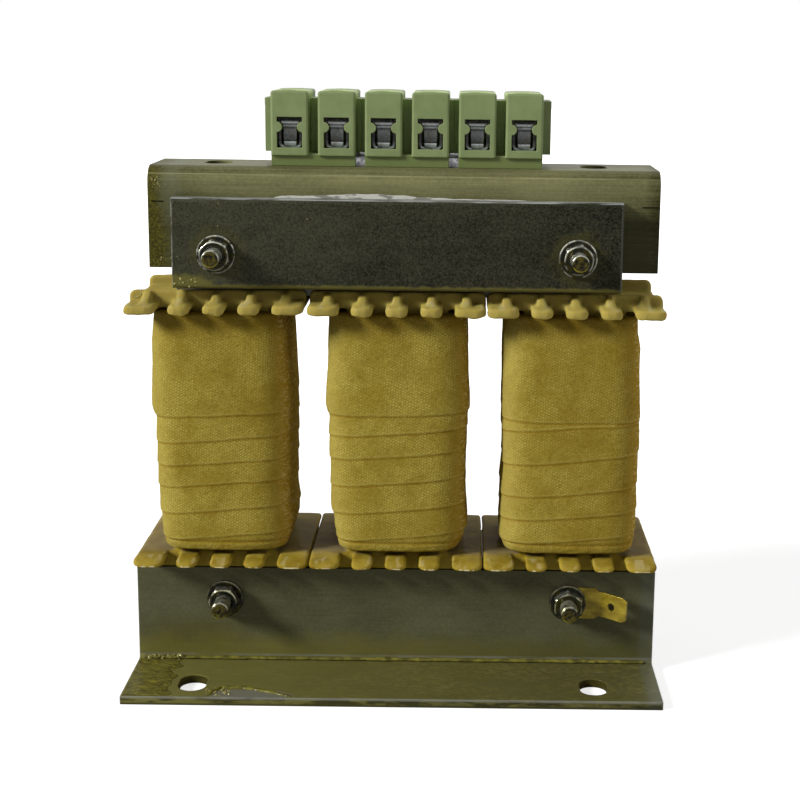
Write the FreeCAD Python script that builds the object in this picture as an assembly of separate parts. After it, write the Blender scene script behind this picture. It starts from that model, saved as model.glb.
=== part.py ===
import FreeCAD, Part
import math
import os

# Three-phase iron-core reactor: an E core with three wound legs, clamped between
# two angle brackets below and a channel with two flat bars above.
# Millimetres. X runs along the row of coils, Y from front to back, Z up.
# The origin is on the ground under the middle of the core.

Vector = FreeCAD.Vector

# Core
leg_pitch = 50.0
leg_width = 25.0
yoke_height = 25.0
window_height = 75.0
stack_depth = 27.0
air_gap = 1.6
core_lift = 8.8
core_bolt_hole = 6.0

# Sheet metal: lower angle brackets
bracket_sheet = 2.5
bracket_length = 151.0
bracket_wall_height = 30.6
foot_reach = 29.0
bracket_bend_radius = 1.0
foot_slot_width = 7.8
foot_slot_length = 11.4
foot_slot_spacing = 113.5
foot_slot_from_edge = 10.3
sheet_bolt_hole = 5.5

# Sheet metal: upper channel
channel_sheet = 2.5
channel_length = 142.4
channel_shift = 1.7
channel_headroom = 8.7
channel_leg_height = 28.3
channel_bend_radius = 2.5
channel_slot_width = 7.3
channel_slot_length = 12.0
channel_slot_spacing = 107.0

# Flat clamp bars outside the channel
bar_length = 125.0
bar_height = 25.0
bar_thickness = 5.0
bar_drop = 9.7
bar_edge_radius = 1.1

# Blank label between the front bar and the channel
label_thickness = 0.2
label_left = -34.6
label_right = 37.4
label_above_bar = 1.3
label_height = 20.0
label_wave = 0.5

# Fasteners
bolt_diameter = 5.0
upper_bolt_length = 55.0
lower_bolt_length = 45.0
bolt_tip_chamfer = 0.5
nut_across_flats = 8.0
nut_height = 4.0
head_height = 3.5
hexagon_flat_share = 0.97
hexagon_chamfer_angle = 30.0
nut_turns = (12.0, 50.0, 30.0, 0.0)
washer_diameter = 10.8
washer_thickness = 1.0
washer_hole = 5.3

# Earth tab on the lower right bolt
tab_thickness = 0.8
tab_base_width = 9.4
tab_base_reach = 9.3
tab_base_chamfer = 1.3
tab_blade_width = 7.4
tab_blade_length = 8.6
tab_blade_chamfer = 1.1
tab_bend_angle = 38.0
tab_bend_radius = 0.8
tab_hole = 2.3
tab_hole_from_bend = 3.4
tab_turn = 2.5

# Bobbins
flange_width = 49.2
flange_depth = 52.4
flange_thickness = 1.6
bobbin_play = 1.4
leg_clearance = 0.25
tube_wall = 1.3
inner_slot_offset = 4.85
outer_slot_offset = 14.4
flange_slot_width = 3.95
tooth_corner_radius = 1.2
flange_corner_radius = 1.6
collar_thickness = 1.9
collar_height = 2.9
collar_corner_radius = 1.5
rib_width = 2.2
rib_pitch = 9.7

# Windings and their tape
winding_build = 4.6
winding_flange_gap = 2.2
winding_corner_radius = 6.6
winding_edge_radius = 2.0
tape_clearance = 0.05
tape_thickness = 0.45
tape_swell = 0.5
tape_step = 0.3
tape_end_lip = 3.2
left_tape_seams = (9.6, 17.6, 24.6, 30.6, 37.8)
centre_tape_seams = (10.1, 18.9, 27.0, 33.7, 39.0)
right_tape_seams = (9.2, 15.8, 25.4, 37.3)

# Terminal housings
terminal_shift = 2.2
pole_pitch = 13.05
housing_poles = 2
housing_count = 3
tower_width = 10.4
tower_depth = 24.0
tower_height = 17.9
tower_edge_radius = 0.7
tower_top_slope = 0.2
skirt_height = 2.9
skirt_setback = 1.0
skirt_roof = 0.6
web_depth = 12.0
web_offset = 3.0
web_top_drop = 2.3
end_ear = 2.6
window_width = 7.0
window_bottom = 2.2
window_opening_height = 8.4
window_lobe_radius = 1.45
window_lobe_drop = 2.7
front_wall = 1.3
cavity_width = 8.0
cavity_depth = 13.0
cavity_height = 9.6
screw_access = 5.8

# Parts inside the housings
cage_width = 6.6
cage_height = 9.0
cage_depth = 6.0
cage_wall = 0.8
cage_top = 1.8
cage_corner_radius = 1.8
cage_front_gap = 0.5
cage_floor_gap = 0.3
strip_width = 4.2
strip_thickness = 0.6
strip_front_drop = 4.1
strip_reach_back = 11.0
strip_bend_radius = 0.5
clamp_screw_diameter = 3.5
clamp_screw_reach = 0.6
clamp_screw_head = 5.2
clamp_screw_head_height = 2.2
clamp_screw_head_lift = 1.0
clamp_screw_slot = 0.9
clamp_screw_slot_depth = 1.1

# Strip under the housings and the screws that hold them from below
rail_sheet = 1.0
rail_clearance = 0.1
rail_end_setback = 0.5
rail_bend_radius = 0.6
housing_screw_diameter = 3.0
housing_screw_hole = 3.3
housing_screw_head = 5.6
housing_screw_head_height = 2.0
housing_screw_bite = 6.0

# Fit between parts that pass through one another
cut_margin = 1.0

# Places worked out from the sizes above
leg_places = {"left": -leg_pitch, "center": 0.0, "right": leg_pitch}
bolt_places = (-leg_pitch, leg_pitch)
core_width = 2 * leg_pitch + leg_width
core_half = stack_depth / 2
lower_yoke_top = core_lift + yoke_height
leg_top = lower_yoke_top + window_height
upper_yoke_base = leg_top + air_gap
upper_yoke_top = upper_yoke_base + yoke_height
lower_bolt_z = core_lift + yoke_height / 2
upper_bolt_z = upper_yoke_base + yoke_height / 2
bracket_face = core_half + bracket_sheet
channel_face = core_half + channel_sheet
channel_top = upper_yoke_top + channel_headroom + channel_sheet
channel_foot = channel_top - channel_leg_height
bar_base = upper_bolt_z - bar_drop
bar_top = bar_base + bar_height
front_bar_back = channel_face + label_thickness
front_bar_face = front_bar_back + bar_thickness
rear_bar_face = channel_face + bar_thickness
tube_half_x = leg_width / 2 + leg_clearance + tube_wall
tube_half_y = core_half + leg_clearance + tube_wall
bobbin_top = upper_yoke_base - bobbin_play
winding_base = lower_yoke_top + flange_thickness + winding_flange_gap
winding_top = bobbin_top - flange_thickness - winding_flange_gap
winding_half_x = tube_half_x + winding_build
winding_half_y = tube_half_y + winding_build
tape_half_x = winding_half_x + tape_thickness
tape_half_y = winding_half_y + tape_thickness
collar_face = core_half + leg_clearance + collar_thickness
housing_width = housing_poles * pole_pitch
tower_base = channel_top + skirt_height
tower_top = tower_base + tower_height
housing_places = [terminal_shift + (i - (housing_count - 1) / 2) * housing_width for i in range(housing_count)]
skirt_width = (housing_poles - 1) * pole_pitch + tower_width
window_low = tower_base + window_bottom
window_high = window_low + window_opening_height
cavity_front = -tower_depth / 2 + front_wall
skirt_half_depth = tower_depth / 2 - skirt_setback


def box(x0, x1, y0, y1, z0, z1):
    return Part.makeBox(x1 - x0, y1 - y0, z1 - z0, Vector(x0, y0, z0))


def rod(diameter, x, z, y0, y1):
    """Cylinder along Y."""
    return Part.makeCylinder(diameter / 2, y1 - y0, Vector(x, y0, z), Vector(0, 1, 0))


def post(diameter, x, y, z0, z1):
    """Cylinder along Z."""
    return Part.makeCylinder(diameter / 2, z1 - z0, Vector(x, y, z0), Vector(0, 0, 1))


def hexagon(across_flats, x, z, y0, y1, turn):
    """Hexagonal prism along Y, turned about its own axis."""
    radius = across_flats / math.sqrt(3)
    points = []
    for i in range(7):
        angle = math.radians(60 * i + turn)
        points.append(Vector(x + radius * math.cos(angle), y0, z + radius * math.sin(angle)))
    return Part.Face(Part.makePolygon(points)).extrude(Vector(0, y1 - y0, 0))


def chamfered_hexagon(across_flats, x, z, y0, y1, turn, ends):
    """Hexagonal prism along Y whose corners are cut back by a cone at each listed end, front or rear."""
    body = hexagon(across_flats, x, z, y0, y1, turn)
    flat_radius = across_flats / 2 * hexagon_flat_share
    wide = across_flats / math.sqrt(3) + cut_margin
    drop = (wide - flat_radius) * math.tan(math.radians(hexagon_chamfer_angle))
    if "front" in ends:
        cone = Part.makeCone(flat_radius, wide, drop, Vector(x, y0, z), Vector(0, 1, 0))
        body = body.common(cone.fuse(rod(2 * wide, x, z, y0 + drop, y1 + drop)))
    if "rear" in ends:
        cone = Part.makeCone(flat_radius, wide, drop, Vector(x, y1, z), Vector(0, -1, 0))
        body = body.common(cone.fuse(rod(2 * wide, x, z, y0 - drop, y1 - drop)))
    return body


def slot_along_y(width, length, x, y, z0, z1):
    """Round-ended cutter whose long way runs along Y."""
    straight = (length - width) / 2
    middle = box(x - width / 2, x + width / 2, y - straight, y + straight, z0, z1)
    ends = [post(width, x, y + side * straight, z0, z1) for side in (-1, 1)]
    return middle.fuse(ends).removeSplitter()


def rounded_rectangle(cx, half_x, half_y, radius, z):
    """Closed wire at one height: four sides and four corner arcs."""
    edges = []
    corners = ((1, 1, 0), (-1, 1, 90), (-1, -1, 180), (1, -1, 270))
    ends = []
    for sx, sy, start in corners:
        centre = Vector(cx + sx * (half_x - radius), sy * (half_y - radius), z)
        circle = Part.Circle(centre, Vector(0, 0, 1), radius)
        arc = Part.Arc(circle, math.radians(start), math.radians(start + 90))
        ends.append((arc.StartPoint, arc.EndPoint, arc.toShape()))
    for i in range(4):
        edges.append(ends[i][2])
        edges.append(Part.makeLine(ends[i][1], ends[(i + 1) % 4][0]))
    return Part.Wire(edges)


def rounded_plate(cx, half_x, half_y, radius, z0, z1):
    wire = rounded_rectangle(cx, half_x, half_y, radius, z0)
    return Part.Face(wire).extrude(Vector(0, 0, z1 - z0))


def angle_bracket(side):
    """Lower bracket: a wall against the core and a foot turned outwards, with two slots and two bolt holes."""
    inner = bracket_bend_radius
    outer = inner + bracket_sheet
    face = bracket_face
    back = core_half
    tip = face + foot_reach
    sheet = bracket_sheet
    top = bracket_wall_height
    start = Vector(0, back, top)
    edges = [
        Part.makeLine(start, Vector(0, face, top)),
        Part.makeLine(Vector(0, face, top), Vector(0, face, sheet + inner)),
        bend(face + inner, sheet + inner, inner, 180, 270),
        Part.makeLine(Vector(0, face + inner, sheet), Vector(0, tip, sheet)),
        Part.makeLine(Vector(0, tip, sheet), Vector(0, tip, 0)),
        Part.makeLine(Vector(0, tip, 0), Vector(0, face + inner, 0)),
        bend(face + inner, sheet + inner, outer, 180, 270),
        Part.makeLine(Vector(0, back, sheet + inner), start),
    ]
    wire = Part.Wire(Part.__sortEdges__(edges))
    body = Part.Face(wire).extrude(Vector(bracket_length, 0, 0))
    body.translate(Vector(-bracket_length / 2, 0, 0))
    for x in bolt_places:
        body = body.cut(rod(sheet_bolt_hole, x, lower_bolt_z, back - cut_margin, face + cut_margin))
    for x in (-foot_slot_spacing / 2, foot_slot_spacing / 2):
        cutter = slot_along_y(foot_slot_width, foot_slot_length, x, tip - foot_slot_from_edge,
                              -cut_margin, sheet + cut_margin)
        body = body.cut(cutter)
    if side < 0:
        body = body.mirror(Vector(0, 0, 0), Vector(0, 1, 0))
    return body


def bend(y, z, radius, start, end):
    """Arc in the YZ plane, angles in degrees from +Y towards +Z."""
    points = []
    for degrees in (start, (start + end) / 2, end):
        angle = math.radians(degrees)
        points.append(Vector(0, y + radius * math.cos(angle), z + radius * math.sin(angle)))
    return Part.Arc(*points).toShape()


def channel_outline(half, top, foot, sheet, inner):
    """Inverted U in the YZ plane as a face."""
    outer = inner + sheet
    flat = half - outer
    edges = [
        Part.makeLine(Vector(0, -half, foot), Vector(0, -half, top - outer)),
        bend(-flat, top - outer, outer, 90, 180),
        Part.makeLine(Vector(0, -flat, top), Vector(0, flat, top)),
        bend(flat, top - outer, outer, 0, 90),
        Part.makeLine(Vector(0, half, top - outer), Vector(0, half, foot)),
        Part.makeLine(Vector(0, half, foot), Vector(0, half - sheet, foot)),
        Part.makeLine(Vector(0, half - sheet, foot), Vector(0, half - sheet, top - outer)),
        bend(flat, top - outer, inner, 0, 90),
        Part.makeLine(Vector(0, flat, top - sheet), Vector(0, -flat, top - sheet)),
        bend(-flat, top - outer, inner, 90, 180),
        Part.makeLine(Vector(0, -half + sheet, top - outer), Vector(0, -half + sheet, foot)),
        Part.makeLine(Vector(0, -half + sheet, foot), Vector(0, -half, foot)),
    ]
    return Part.Face(Part.Wire(Part.__sortEdges__(edges)))


def e_stack():
    """Lower core part: yoke with three legs, and a hole through the yoke under each outer leg."""
    body = box(-core_width / 2, core_width / 2, -core_half, core_half, core_lift, lower_yoke_top)
    for x in leg_places.values():
        leg = box(x - leg_width / 2, x + leg_width / 2, -core_half, core_half, lower_yoke_top, leg_top)
        body = body.fuse(leg)
    body = body.removeSplitter()
    for x in bolt_places:
        body = body.cut(rod(core_bolt_hole, x, lower_bolt_z, -core_half - cut_margin, core_half + cut_margin))
    return body


def upper_yoke():
    body = box(-core_width / 2, core_width / 2, -core_half, core_half, upper_yoke_base, upper_yoke_top)
    for x in bolt_places:
        body = body.cut(rod(core_bolt_hole, x, upper_bolt_z, -core_half - cut_margin, core_half + cut_margin))
    return body


def gap_spacer(x):
    return box(x - leg_width / 2, x + leg_width / 2, -core_half, core_half, leg_top, upper_yoke_base)


def top_channel():
    half = channel_face
    body = channel_outline(half, channel_top, channel_foot, channel_sheet, channel_bend_radius)
    body = body.extrude(Vector(channel_length, 0, 0))
    body.translate(Vector(channel_shift - channel_length / 2, 0, 0))
    for x in bolt_places:
        body = body.cut(rod(sheet_bolt_hole, x, upper_bolt_z, -half - cut_margin, half + cut_margin))
    low = channel_top - channel_sheet - cut_margin
    high = channel_top + cut_margin
    for side in (-1, 1):
        x = channel_shift + side * channel_slot_spacing / 2
        body = body.cut(slot_along_y(channel_slot_width, channel_slot_length, x, 0, low, high))
    for x in housing_places:
        body = body.cut(post(housing_screw_hole, x, web_offset, low, high))
    return body


def clamp_bar(side):
    """Flat bar with rolled long edges and two bolt holes."""
    near = front_bar_back if side < 0 else channel_face
    far = near + bar_thickness
    body = box(-bar_length / 2, bar_length / 2, near, far, bar_base, bar_top)
    outer_edges = []
    for edge in body.Edges:
        middle = edge.CenterOfMass
        if abs(middle.y - far) < 1e-6:
            outer_edges.append(edge)
    body = body.makeFillet(bar_edge_radius, outer_edges)
    for x in bolt_places:
        body = body.cut(rod(sheet_bolt_hole, x, upper_bolt_z, near - cut_margin, far + cut_margin))
    if side < 0:
        body = body.mirror(Vector(0, 0, 0), Vector(0, 1, 0))
    return body


def label():
    """Thin sheet behind the front bar, with a wavy upper edge that shows above the bar."""
    low = bar_top + label_above_bar - label_height
    high = bar_top + label_above_bar
    front = -channel_face - label_thickness
    span = label_right - label_left
    crest = [Vector(label_left, front, high - label_wave)]
    crest.append(Vector(label_left + span / 3, front, high + label_wave))
    crest.append(Vector(label_left + 2 * span / 3, front, high - label_wave / 2))
    crest.append(Vector(label_right, front, high))
    curve = Part.BSplineCurve()
    curve.interpolate(crest)
    edges = [
        curve.toShape(),
        Part.makeLine(crest[-1], Vector(label_right, front, low)),
        Part.makeLine(Vector(label_right, front, low), Vector(label_left, front, low)),
        Part.makeLine(Vector(label_left, front, low), crest[0]),
    ]
    return Part.Face(Part.Wire(edges)).extrude(Vector(0, label_thickness, 0))


def bolt(x, z, head_seat, length):
    """Hexagon bolt along Y with its head at the rear and a chamfered tip at the front."""
    tip = head_seat - length
    shank = rod(bolt_diameter, x, z, tip + bolt_tip_chamfer, head_seat)
    point = Part.makeCone(bolt_diameter / 2 - bolt_tip_chamfer, bolt_diameter / 2, bolt_tip_chamfer,
                          Vector(x, tip, z), Vector(0, 1, 0))
    head = chamfered_hexagon(nut_across_flats, x, z, head_seat, head_seat + head_height, 0, ["rear"])
    return head.fuse([shank, point]).removeSplitter()


def washer(x, z, y0):
    body = rod(washer_diameter, x, z, y0, y0 + washer_thickness)
    return body.cut(rod(washer_hole, x, z, y0 - cut_margin, y0 + washer_thickness + cut_margin))


def nut(x, z, seat, turn):
    """Hexagon nut whose rear face is at seat; the thread bore is the bolt's size."""
    body = chamfered_hexagon(nut_across_flats, x, z, seat - nut_height, seat, turn, ["front", "rear"])
    return body.cut(rod(bolt_diameter, x, z, seat - nut_height - cut_margin, seat + cut_margin))


def clamping_points():
    """Each bolt's x, z, front seat of its washer, rear seat and length."""
    rows = []
    for x in bolt_places:
        rows.append((x, upper_bolt_z, -front_bar_face, rear_bar_face, upper_bolt_length))
    for x in bolt_places:
        front = -bracket_face
        if x > 0:
            front -= tab_thickness
        rows.append((x, lower_bolt_z, front, bracket_face, lower_bolt_length))
    return rows


def fastener_groups():
    """Bolts, nuts and washers, each kind as one list of solids."""
    upper_bolts = []
    lower_bolts = []
    nuts = []
    front_washers = []
    rear_washers = []
    for (x, z, front, rear, length), turn in zip(clamping_points(), nut_turns):
        target = upper_bolts if z == upper_bolt_z else lower_bolts
        target.append(bolt(x, z, rear + washer_thickness, length))
        front_washers.append(washer(x, z, front - washer_thickness))
        rear_washers.append(washer(x, z, rear))
        nuts.append(nut(x, z, front - washer_thickness, turn))
    return {
        "upper_bolts": upper_bolts,
        "lower_bolts": lower_bolts,
        "clamp_nuts": nuts,
        "front_washers": front_washers,
        "rear_washers": rear_washers,
    }


def earth_tab():
    """Flat tab under the lower right nut, its blade bent towards the front."""
    x = leg_pitch
    z = lower_bolt_z
    back = -bracket_face
    face = back - tab_thickness
    bend_x = x + tab_base_reach
    angle = math.radians(tab_bend_angle)
    inner = tab_bend_radius
    outer = inner + tab_thickness
    centre = Vector(bend_x, face - inner, 0)
    mid_out = centre + Vector(outer * math.sin(angle / 2), outer * math.cos(angle / 2), 0)
    end_out = centre + Vector(outer * math.sin(angle), outer * math.cos(angle), 0)
    mid_in = centre + Vector(inner * math.sin(angle / 2), inner * math.cos(angle / 2), 0)
    end_in = centre + Vector(inner * math.sin(angle), inner * math.cos(angle), 0)
    along = Vector(math.cos(angle), -math.sin(angle), 0)
    edges = [
        Part.makeLine(Vector(x, back, 0), Vector(bend_x, back, 0)),
        Part.Arc(Vector(bend_x, back, 0), mid_out, end_out).toShape(),
        Part.makeLine(end_out, end_out + along * tab_blade_length),
        Part.makeLine(end_out + along * tab_blade_length, end_in + along * tab_blade_length),
        Part.makeLine(end_in + along * tab_blade_length, end_in),
        Part.Arc(end_in, mid_in, Vector(bend_x, face, 0)).toShape(),
        Part.makeLine(Vector(bend_x, face, 0), Vector(x, face, 0)),
        Part.makeLine(Vector(x, face, 0), Vector(x, back, 0)),
    ]
    strip = Part.Face(Part.Wire(edges)).extrude(Vector(0, 0, tab_base_width))
    strip.translate(Vector(0, 0, z - tab_base_width / 2))
    outline = tab_outline(x, z, bend_x, end_in + along * tab_blade_length)
    body = strip.common(outline)
    ring = rod(tab_base_width, x, z, face, back)
    body = body.fuse(ring).removeSplitter()
    body = body.cut(rod(washer_hole, x, z, face - cut_margin, back + cut_margin))
    hole_spot = end_in + along * tab_hole_from_bend
    hole_axis = Vector(math.sin(angle), math.cos(angle), 0)
    start = Vector(hole_spot.x, hole_spot.y, z) - hole_axis * cut_margin
    body = body.cut(Part.makeCylinder(tab_hole / 2, tab_thickness + 2 * cut_margin, start, hole_axis))
    body.rotate(Vector(x, 0, z), Vector(0, 1, 0), tab_turn)
    return body


def tab_outline(x, z, bend_x, tip):
    """The tab's outline seen from the front, as a thick slab to cut the bent strip with."""
    wide = tab_base_width / 2
    narrow = tab_blade_width / 2
    shape = [
        (x, -wide),
        (bend_x - tab_base_chamfer, -wide),
        (bend_x, -narrow),
        (tip.x - tab_blade_chamfer, -narrow),
        (tip.x + tab_thickness, -narrow + tab_blade_chamfer),
    ]
    points = [Vector(px, 0, z + pz) for px, pz in shape]
    points += [Vector(px, 0, z - pz) for px, pz in reversed(shape)]
    points.append(points[0])
    depth = tab_blade_length + tab_thickness + cut_margin
    slab = Part.Face(Part.makePolygon(points)).extrude(Vector(0, -bracket_face - depth, 0))
    return slab


def flange_slots(cx, low, high):
    """Cutters for the gaps between the flange's teeth, front and rear."""
    cutters = []
    for side in (-1, 1):
        for offset in (-outer_slot_offset, -inner_slot_offset, inner_slot_offset, outer_slot_offset):
            x = cx + offset
            near = side * collar_face
            far = side * (flange_depth / 2 + cut_margin)
            cutters.append(box(x - flange_slot_width / 2, x + flange_slot_width / 2,
                               min(near, far), max(near, far), low, high))
    return cutters


def flange(cx, z, outward):
    """One toothed flange with its collars and ribs; outward is +1 at the top end and -1 at the lower end."""
    low = z
    high = z + flange_thickness
    body = rounded_plate(cx, flange_width / 2, flange_depth / 2, flange_corner_radius, low, high)
    body = body.cut(flange_slots(cx, low - cut_margin, high + cut_margin))
    body = round_tooth_corners(body, cx)
    outer = high if outward > 0 else low
    parts = []
    for side in (-1, 1):
        parts.append(collar(cx, outer, outward, side))
        for step in (-2, -1, 0, 1, 2):
            parts.append(rib(cx + step * rib_pitch, outer, outward, side))
    return body.fuse(parts).removeSplitter()


def round_tooth_corners(body, cx):
    """Rounds the teeth's free corners, seen from above."""
    edges = []
    for edge in body.Edges:
        middle = edge.CenterOfMass
        upright = abs(edge.Length - flange_thickness) < 1e-6
        at_tip = abs(abs(middle.y) - flange_depth / 2) < 1e-6
        if upright and at_tip and abs(middle.x - cx) < flange_width / 2 - flange_corner_radius - 1e-3:
            edges.append(edge)
    return body.makeFillet(tooth_corner_radius, edges)


def collar(cx, z, outward, side):
    """Upright wall across the flange in front of the yoke, with rounded ends."""
    half = flange_width / 2
    radius = collar_corner_radius
    inner = side * (collar_face - collar_thickness)
    top = z + outward * collar_height
    bow = radius * math.cos(math.radians(45))
    edges = [
        Part.makeLine(Vector(cx - half, inner, z), Vector(cx + half, inner, z)),
        Part.makeLine(Vector(cx + half, inner, z), Vector(cx + half, inner, top - outward * radius)),
        Part.Arc(Vector(cx + half, inner, top - outward * radius),
                 Vector(cx + half - radius + bow, inner, top - outward * (radius - bow)),
                 Vector(cx + half - radius, inner, top)).toShape(),
        Part.makeLine(Vector(cx + half - radius, inner, top), Vector(cx - half + radius, inner, top)),
        Part.Arc(Vector(cx - half + radius, inner, top),
                 Vector(cx - half + radius - bow, inner, top - outward * (radius - bow)),
                 Vector(cx - half, inner, top - outward * radius)).toShape(),
        Part.makeLine(Vector(cx - half, inner, top - outward * radius), Vector(cx - half, inner, z)),
    ]
    return Part.Face(Part.Wire(edges)).extrude(Vector(0, side * collar_thickness, 0))


def rib(x, z, outward, side):
    """Tapered rib from the collar down to the tip of one tooth."""
    root = side * collar_face
    tip = side * (flange_depth / 2 - tooth_corner_radius)
    points = [
        Vector(x - rib_width / 2, root, z),
        Vector(x - rib_width / 2, tip, z),
        Vector(x - rib_width / 2, root, z + outward * collar_height),
        Vector(x - rib_width / 2, root, z),
    ]
    return Part.Face(Part.makePolygon(points)).extrude(Vector(rib_width, 0, 0))


def bobbin(cx):
    """Square tube round one leg with a toothed flange at each end."""
    low = lower_yoke_top
    tube = box(cx - tube_half_x, cx + tube_half_x, -tube_half_y, tube_half_y, low, bobbin_top)
    body = tube.fuse([flange(cx, low, -1), flange(cx, bobbin_top - flange_thickness, 1)])
    hole_x = leg_width / 2 + leg_clearance
    hole_y = core_half + leg_clearance
    body = body.cut(box(cx - hole_x, cx + hole_x, -hole_y, hole_y, low - cut_margin, bobbin_top + cut_margin))
    return body.removeSplitter()


def soft_block(cx, grow):
    """Closed block with the winding's outer form, grown all round by a small amount."""
    half_x = winding_half_x + grow
    half_y = winding_half_y + grow
    low = winding_base - grow
    high = winding_top + grow
    body = rounded_plate(cx, half_x, half_y, winding_corner_radius + grow, low, high)
    ends = []
    for edge in body.Edges:
        z = edge.CenterOfMass.z
        if min(abs(z - low), abs(z - high)) < 1e-6:
            ends.append(edge)
    return body.makeFillet(winding_edge_radius + grow, ends)


def winding(cx):
    """Copper winding as one closed block round the bobbin's tube."""
    body = soft_block(cx, 0.0)
    hole = box(cx - tube_half_x, cx + tube_half_x, -tube_half_y, tube_half_y,
               winding_base - cut_margin, winding_top + cut_margin)
    return body.cut(hole)


def tape_profile(seams):
    """Heights and outward offsets of the tape's surface, from the lower edge up."""
    low = winding_base - tape_thickness
    high = winding_top + tape_thickness
    radius = winding_edge_radius + tape_thickness
    turn = radius * (1 - math.cos(math.radians(45)))
    rows = [(low, -radius), (low + turn, -turn), (low + radius, 0.0)]
    lap = tape_step / 2
    for i, seam in enumerate(seams):
        swell = tape_swell * i / len(seams)
        rows.append((low + seam - lap, swell))
        rows.append((low + seam, swell + tape_step))
    rows.append((high - (high - low) / 3, tape_swell + tape_step))
    rows.append((high - radius, tape_swell))
    rows.append((high - turn, tape_swell - turn))
    rows.append((high, tape_swell - radius))
    return rows


def tape_wrap(cx, seams):
    """Tape round the winding: overlapping bands, rounded at both ends and folded in over the winding."""
    wires = []
    radius = winding_corner_radius + tape_thickness
    for z, offset in tape_profile(seams):
        wires.append(rounded_rectangle(cx, tape_half_x + offset, tape_half_y + offset, radius + offset, z))
    body = Part.makeLoft(wires, True, True)
    hole = box(cx - winding_half_x + tape_end_lip, cx + winding_half_x - tape_end_lip,
               -winding_half_y + tape_end_lip, winding_half_y - tape_end_lip,
               winding_base - tape_thickness - cut_margin, winding_top + tape_thickness + cut_margin)
    return body.cut(soft_block(cx, tape_clearance).fuse(hole))


def tower(x):
    """Housing of one pole: rounded block whose top falls a little towards both sides."""
    half = tower_width / 2
    front = -tower_depth / 2
    shoulder = tower_top - tower_top_slope
    edges = [
        Part.makeLine(Vector(x - half, front, tower_base), Vector(x + half, front, tower_base)),
        Part.makeLine(Vector(x + half, front, tower_base), Vector(x + half, front, shoulder)),
        Part.Arc(Vector(x + half, front, shoulder), Vector(x, front, tower_top),
                 Vector(x - half, front, shoulder)).toShape(),
        Part.makeLine(Vector(x - half, front, shoulder), Vector(x - half, front, tower_base)),
    ]
    body = Part.Face(Part.Wire(edges)).extrude(Vector(0, tower_depth, 0))
    rounded = []
    for edge in body.Edges:
        middle = edge.CenterOfMass
        if middle.z > tower_base + tower_height / 3:
            rounded.append(edge)
    return body.makeFillet(tower_edge_radius, rounded)


def pole_cavity(x):
    """Cutter for one pole: lobed window, room for the clamp, and the screwdriver's way in from above."""
    front = -tower_depth / 2
    window = box(x - window_width / 2, x + window_width / 2, front - cut_margin, cavity_front + cut_margin,
                 window_low, window_high)
    lobe_z = window_high - window_lobe_drop
    for side in (-1, 1):
        lobe = rod(2 * window_lobe_radius, x + side * window_width / 2, lobe_z,
                   front - 2 * cut_margin, cavity_front + 2 * cut_margin)
        window = window.cut(lobe)
    extra = (cavity_height - window_opening_height) / 2
    room = box(x - cavity_width / 2, x + cavity_width / 2, cavity_front, cavity_front + cavity_depth,
               window_low - extra, window_high + extra)
    access = post(screw_access, x, clamp_y(), window_high, tower_top + cut_margin)
    return room.fuse([window, access])


def clamp_y():
    """Place of the clamp's screw from front to back."""
    return cavity_front + cage_front_gap + strip_thickness + cage_depth / 2


def pole_places(cx):
    return [cx + (i - (housing_poles - 1) / 2) * pole_pitch for i in range(housing_poles)]


def terminal_housing(index):
    """Two-pole housing: skirt on the channel, two towers, the web behind them and an ear at the row's ends."""
    cx = housing_places[index]
    left = cx - housing_width / 2
    right = cx + housing_width / 2
    if index == 0:
        left = pole_places(cx)[0] - tower_width / 2 - end_ear
    if index == housing_count - 1:
        right = pole_places(cx)[-1] + tower_width / 2 + end_ear
    web = box(left, right, web_offset - web_depth / 2, web_offset + web_depth / 2,
              tower_base + skirt_roof, tower_top - web_top_drop)
    skirt = box(cx - skirt_width / 2, cx + skirt_width / 2, -skirt_half_depth, skirt_half_depth,
                channel_top, tower_base + skirt_roof)
    body = skirt.fuse([web] + [tower(x) for x in pole_places(cx)]).removeSplitter()
    rail_room = box(cx - skirt_width / 2 - cut_margin, cx + skirt_width / 2 + cut_margin,
                    -rail_half_depth() - rail_clearance, rail_half_depth() + rail_clearance,
                    channel_top - cut_margin, tower_base)
    body = body.cut(rail_room)
    for x in pole_places(cx):
        body = body.cut(pole_cavity(x))
    bite = tower_base + housing_screw_bite
    return body.cut(post(housing_screw_diameter, cx, web_offset, tower_base - cut_margin, bite))


def rail_half_depth():
    return skirt_half_depth - front_wall


def terminal_rail():
    """Bright strip on the channel: a low inverted U that the housings stand over."""
    half = rail_half_depth()
    face = channel_outline(half, tower_base, channel_top, rail_sheet, rail_bend_radius)
    length = housing_places[-1] - housing_places[0] + skirt_width - 2 * rail_end_setback
    body = face.extrude(Vector(length, 0, 0))
    body.translate(Vector(terminal_shift - length / 2, 0, 0))
    for x in housing_places:
        body = body.cut(post(housing_screw_hole, x, web_offset, channel_top - cut_margin, tower_base + cut_margin))
    return body


def housing_screw(x):
    """Screw from below the channel's web up into a housing."""
    seat = channel_top - channel_sheet
    head = post(housing_screw_head, x, web_offset, seat - housing_screw_head_height, seat)
    shank = post(housing_screw_diameter, x, web_offset, seat, tower_base + housing_screw_bite)
    return head.fuse(shank).removeSplitter()


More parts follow.
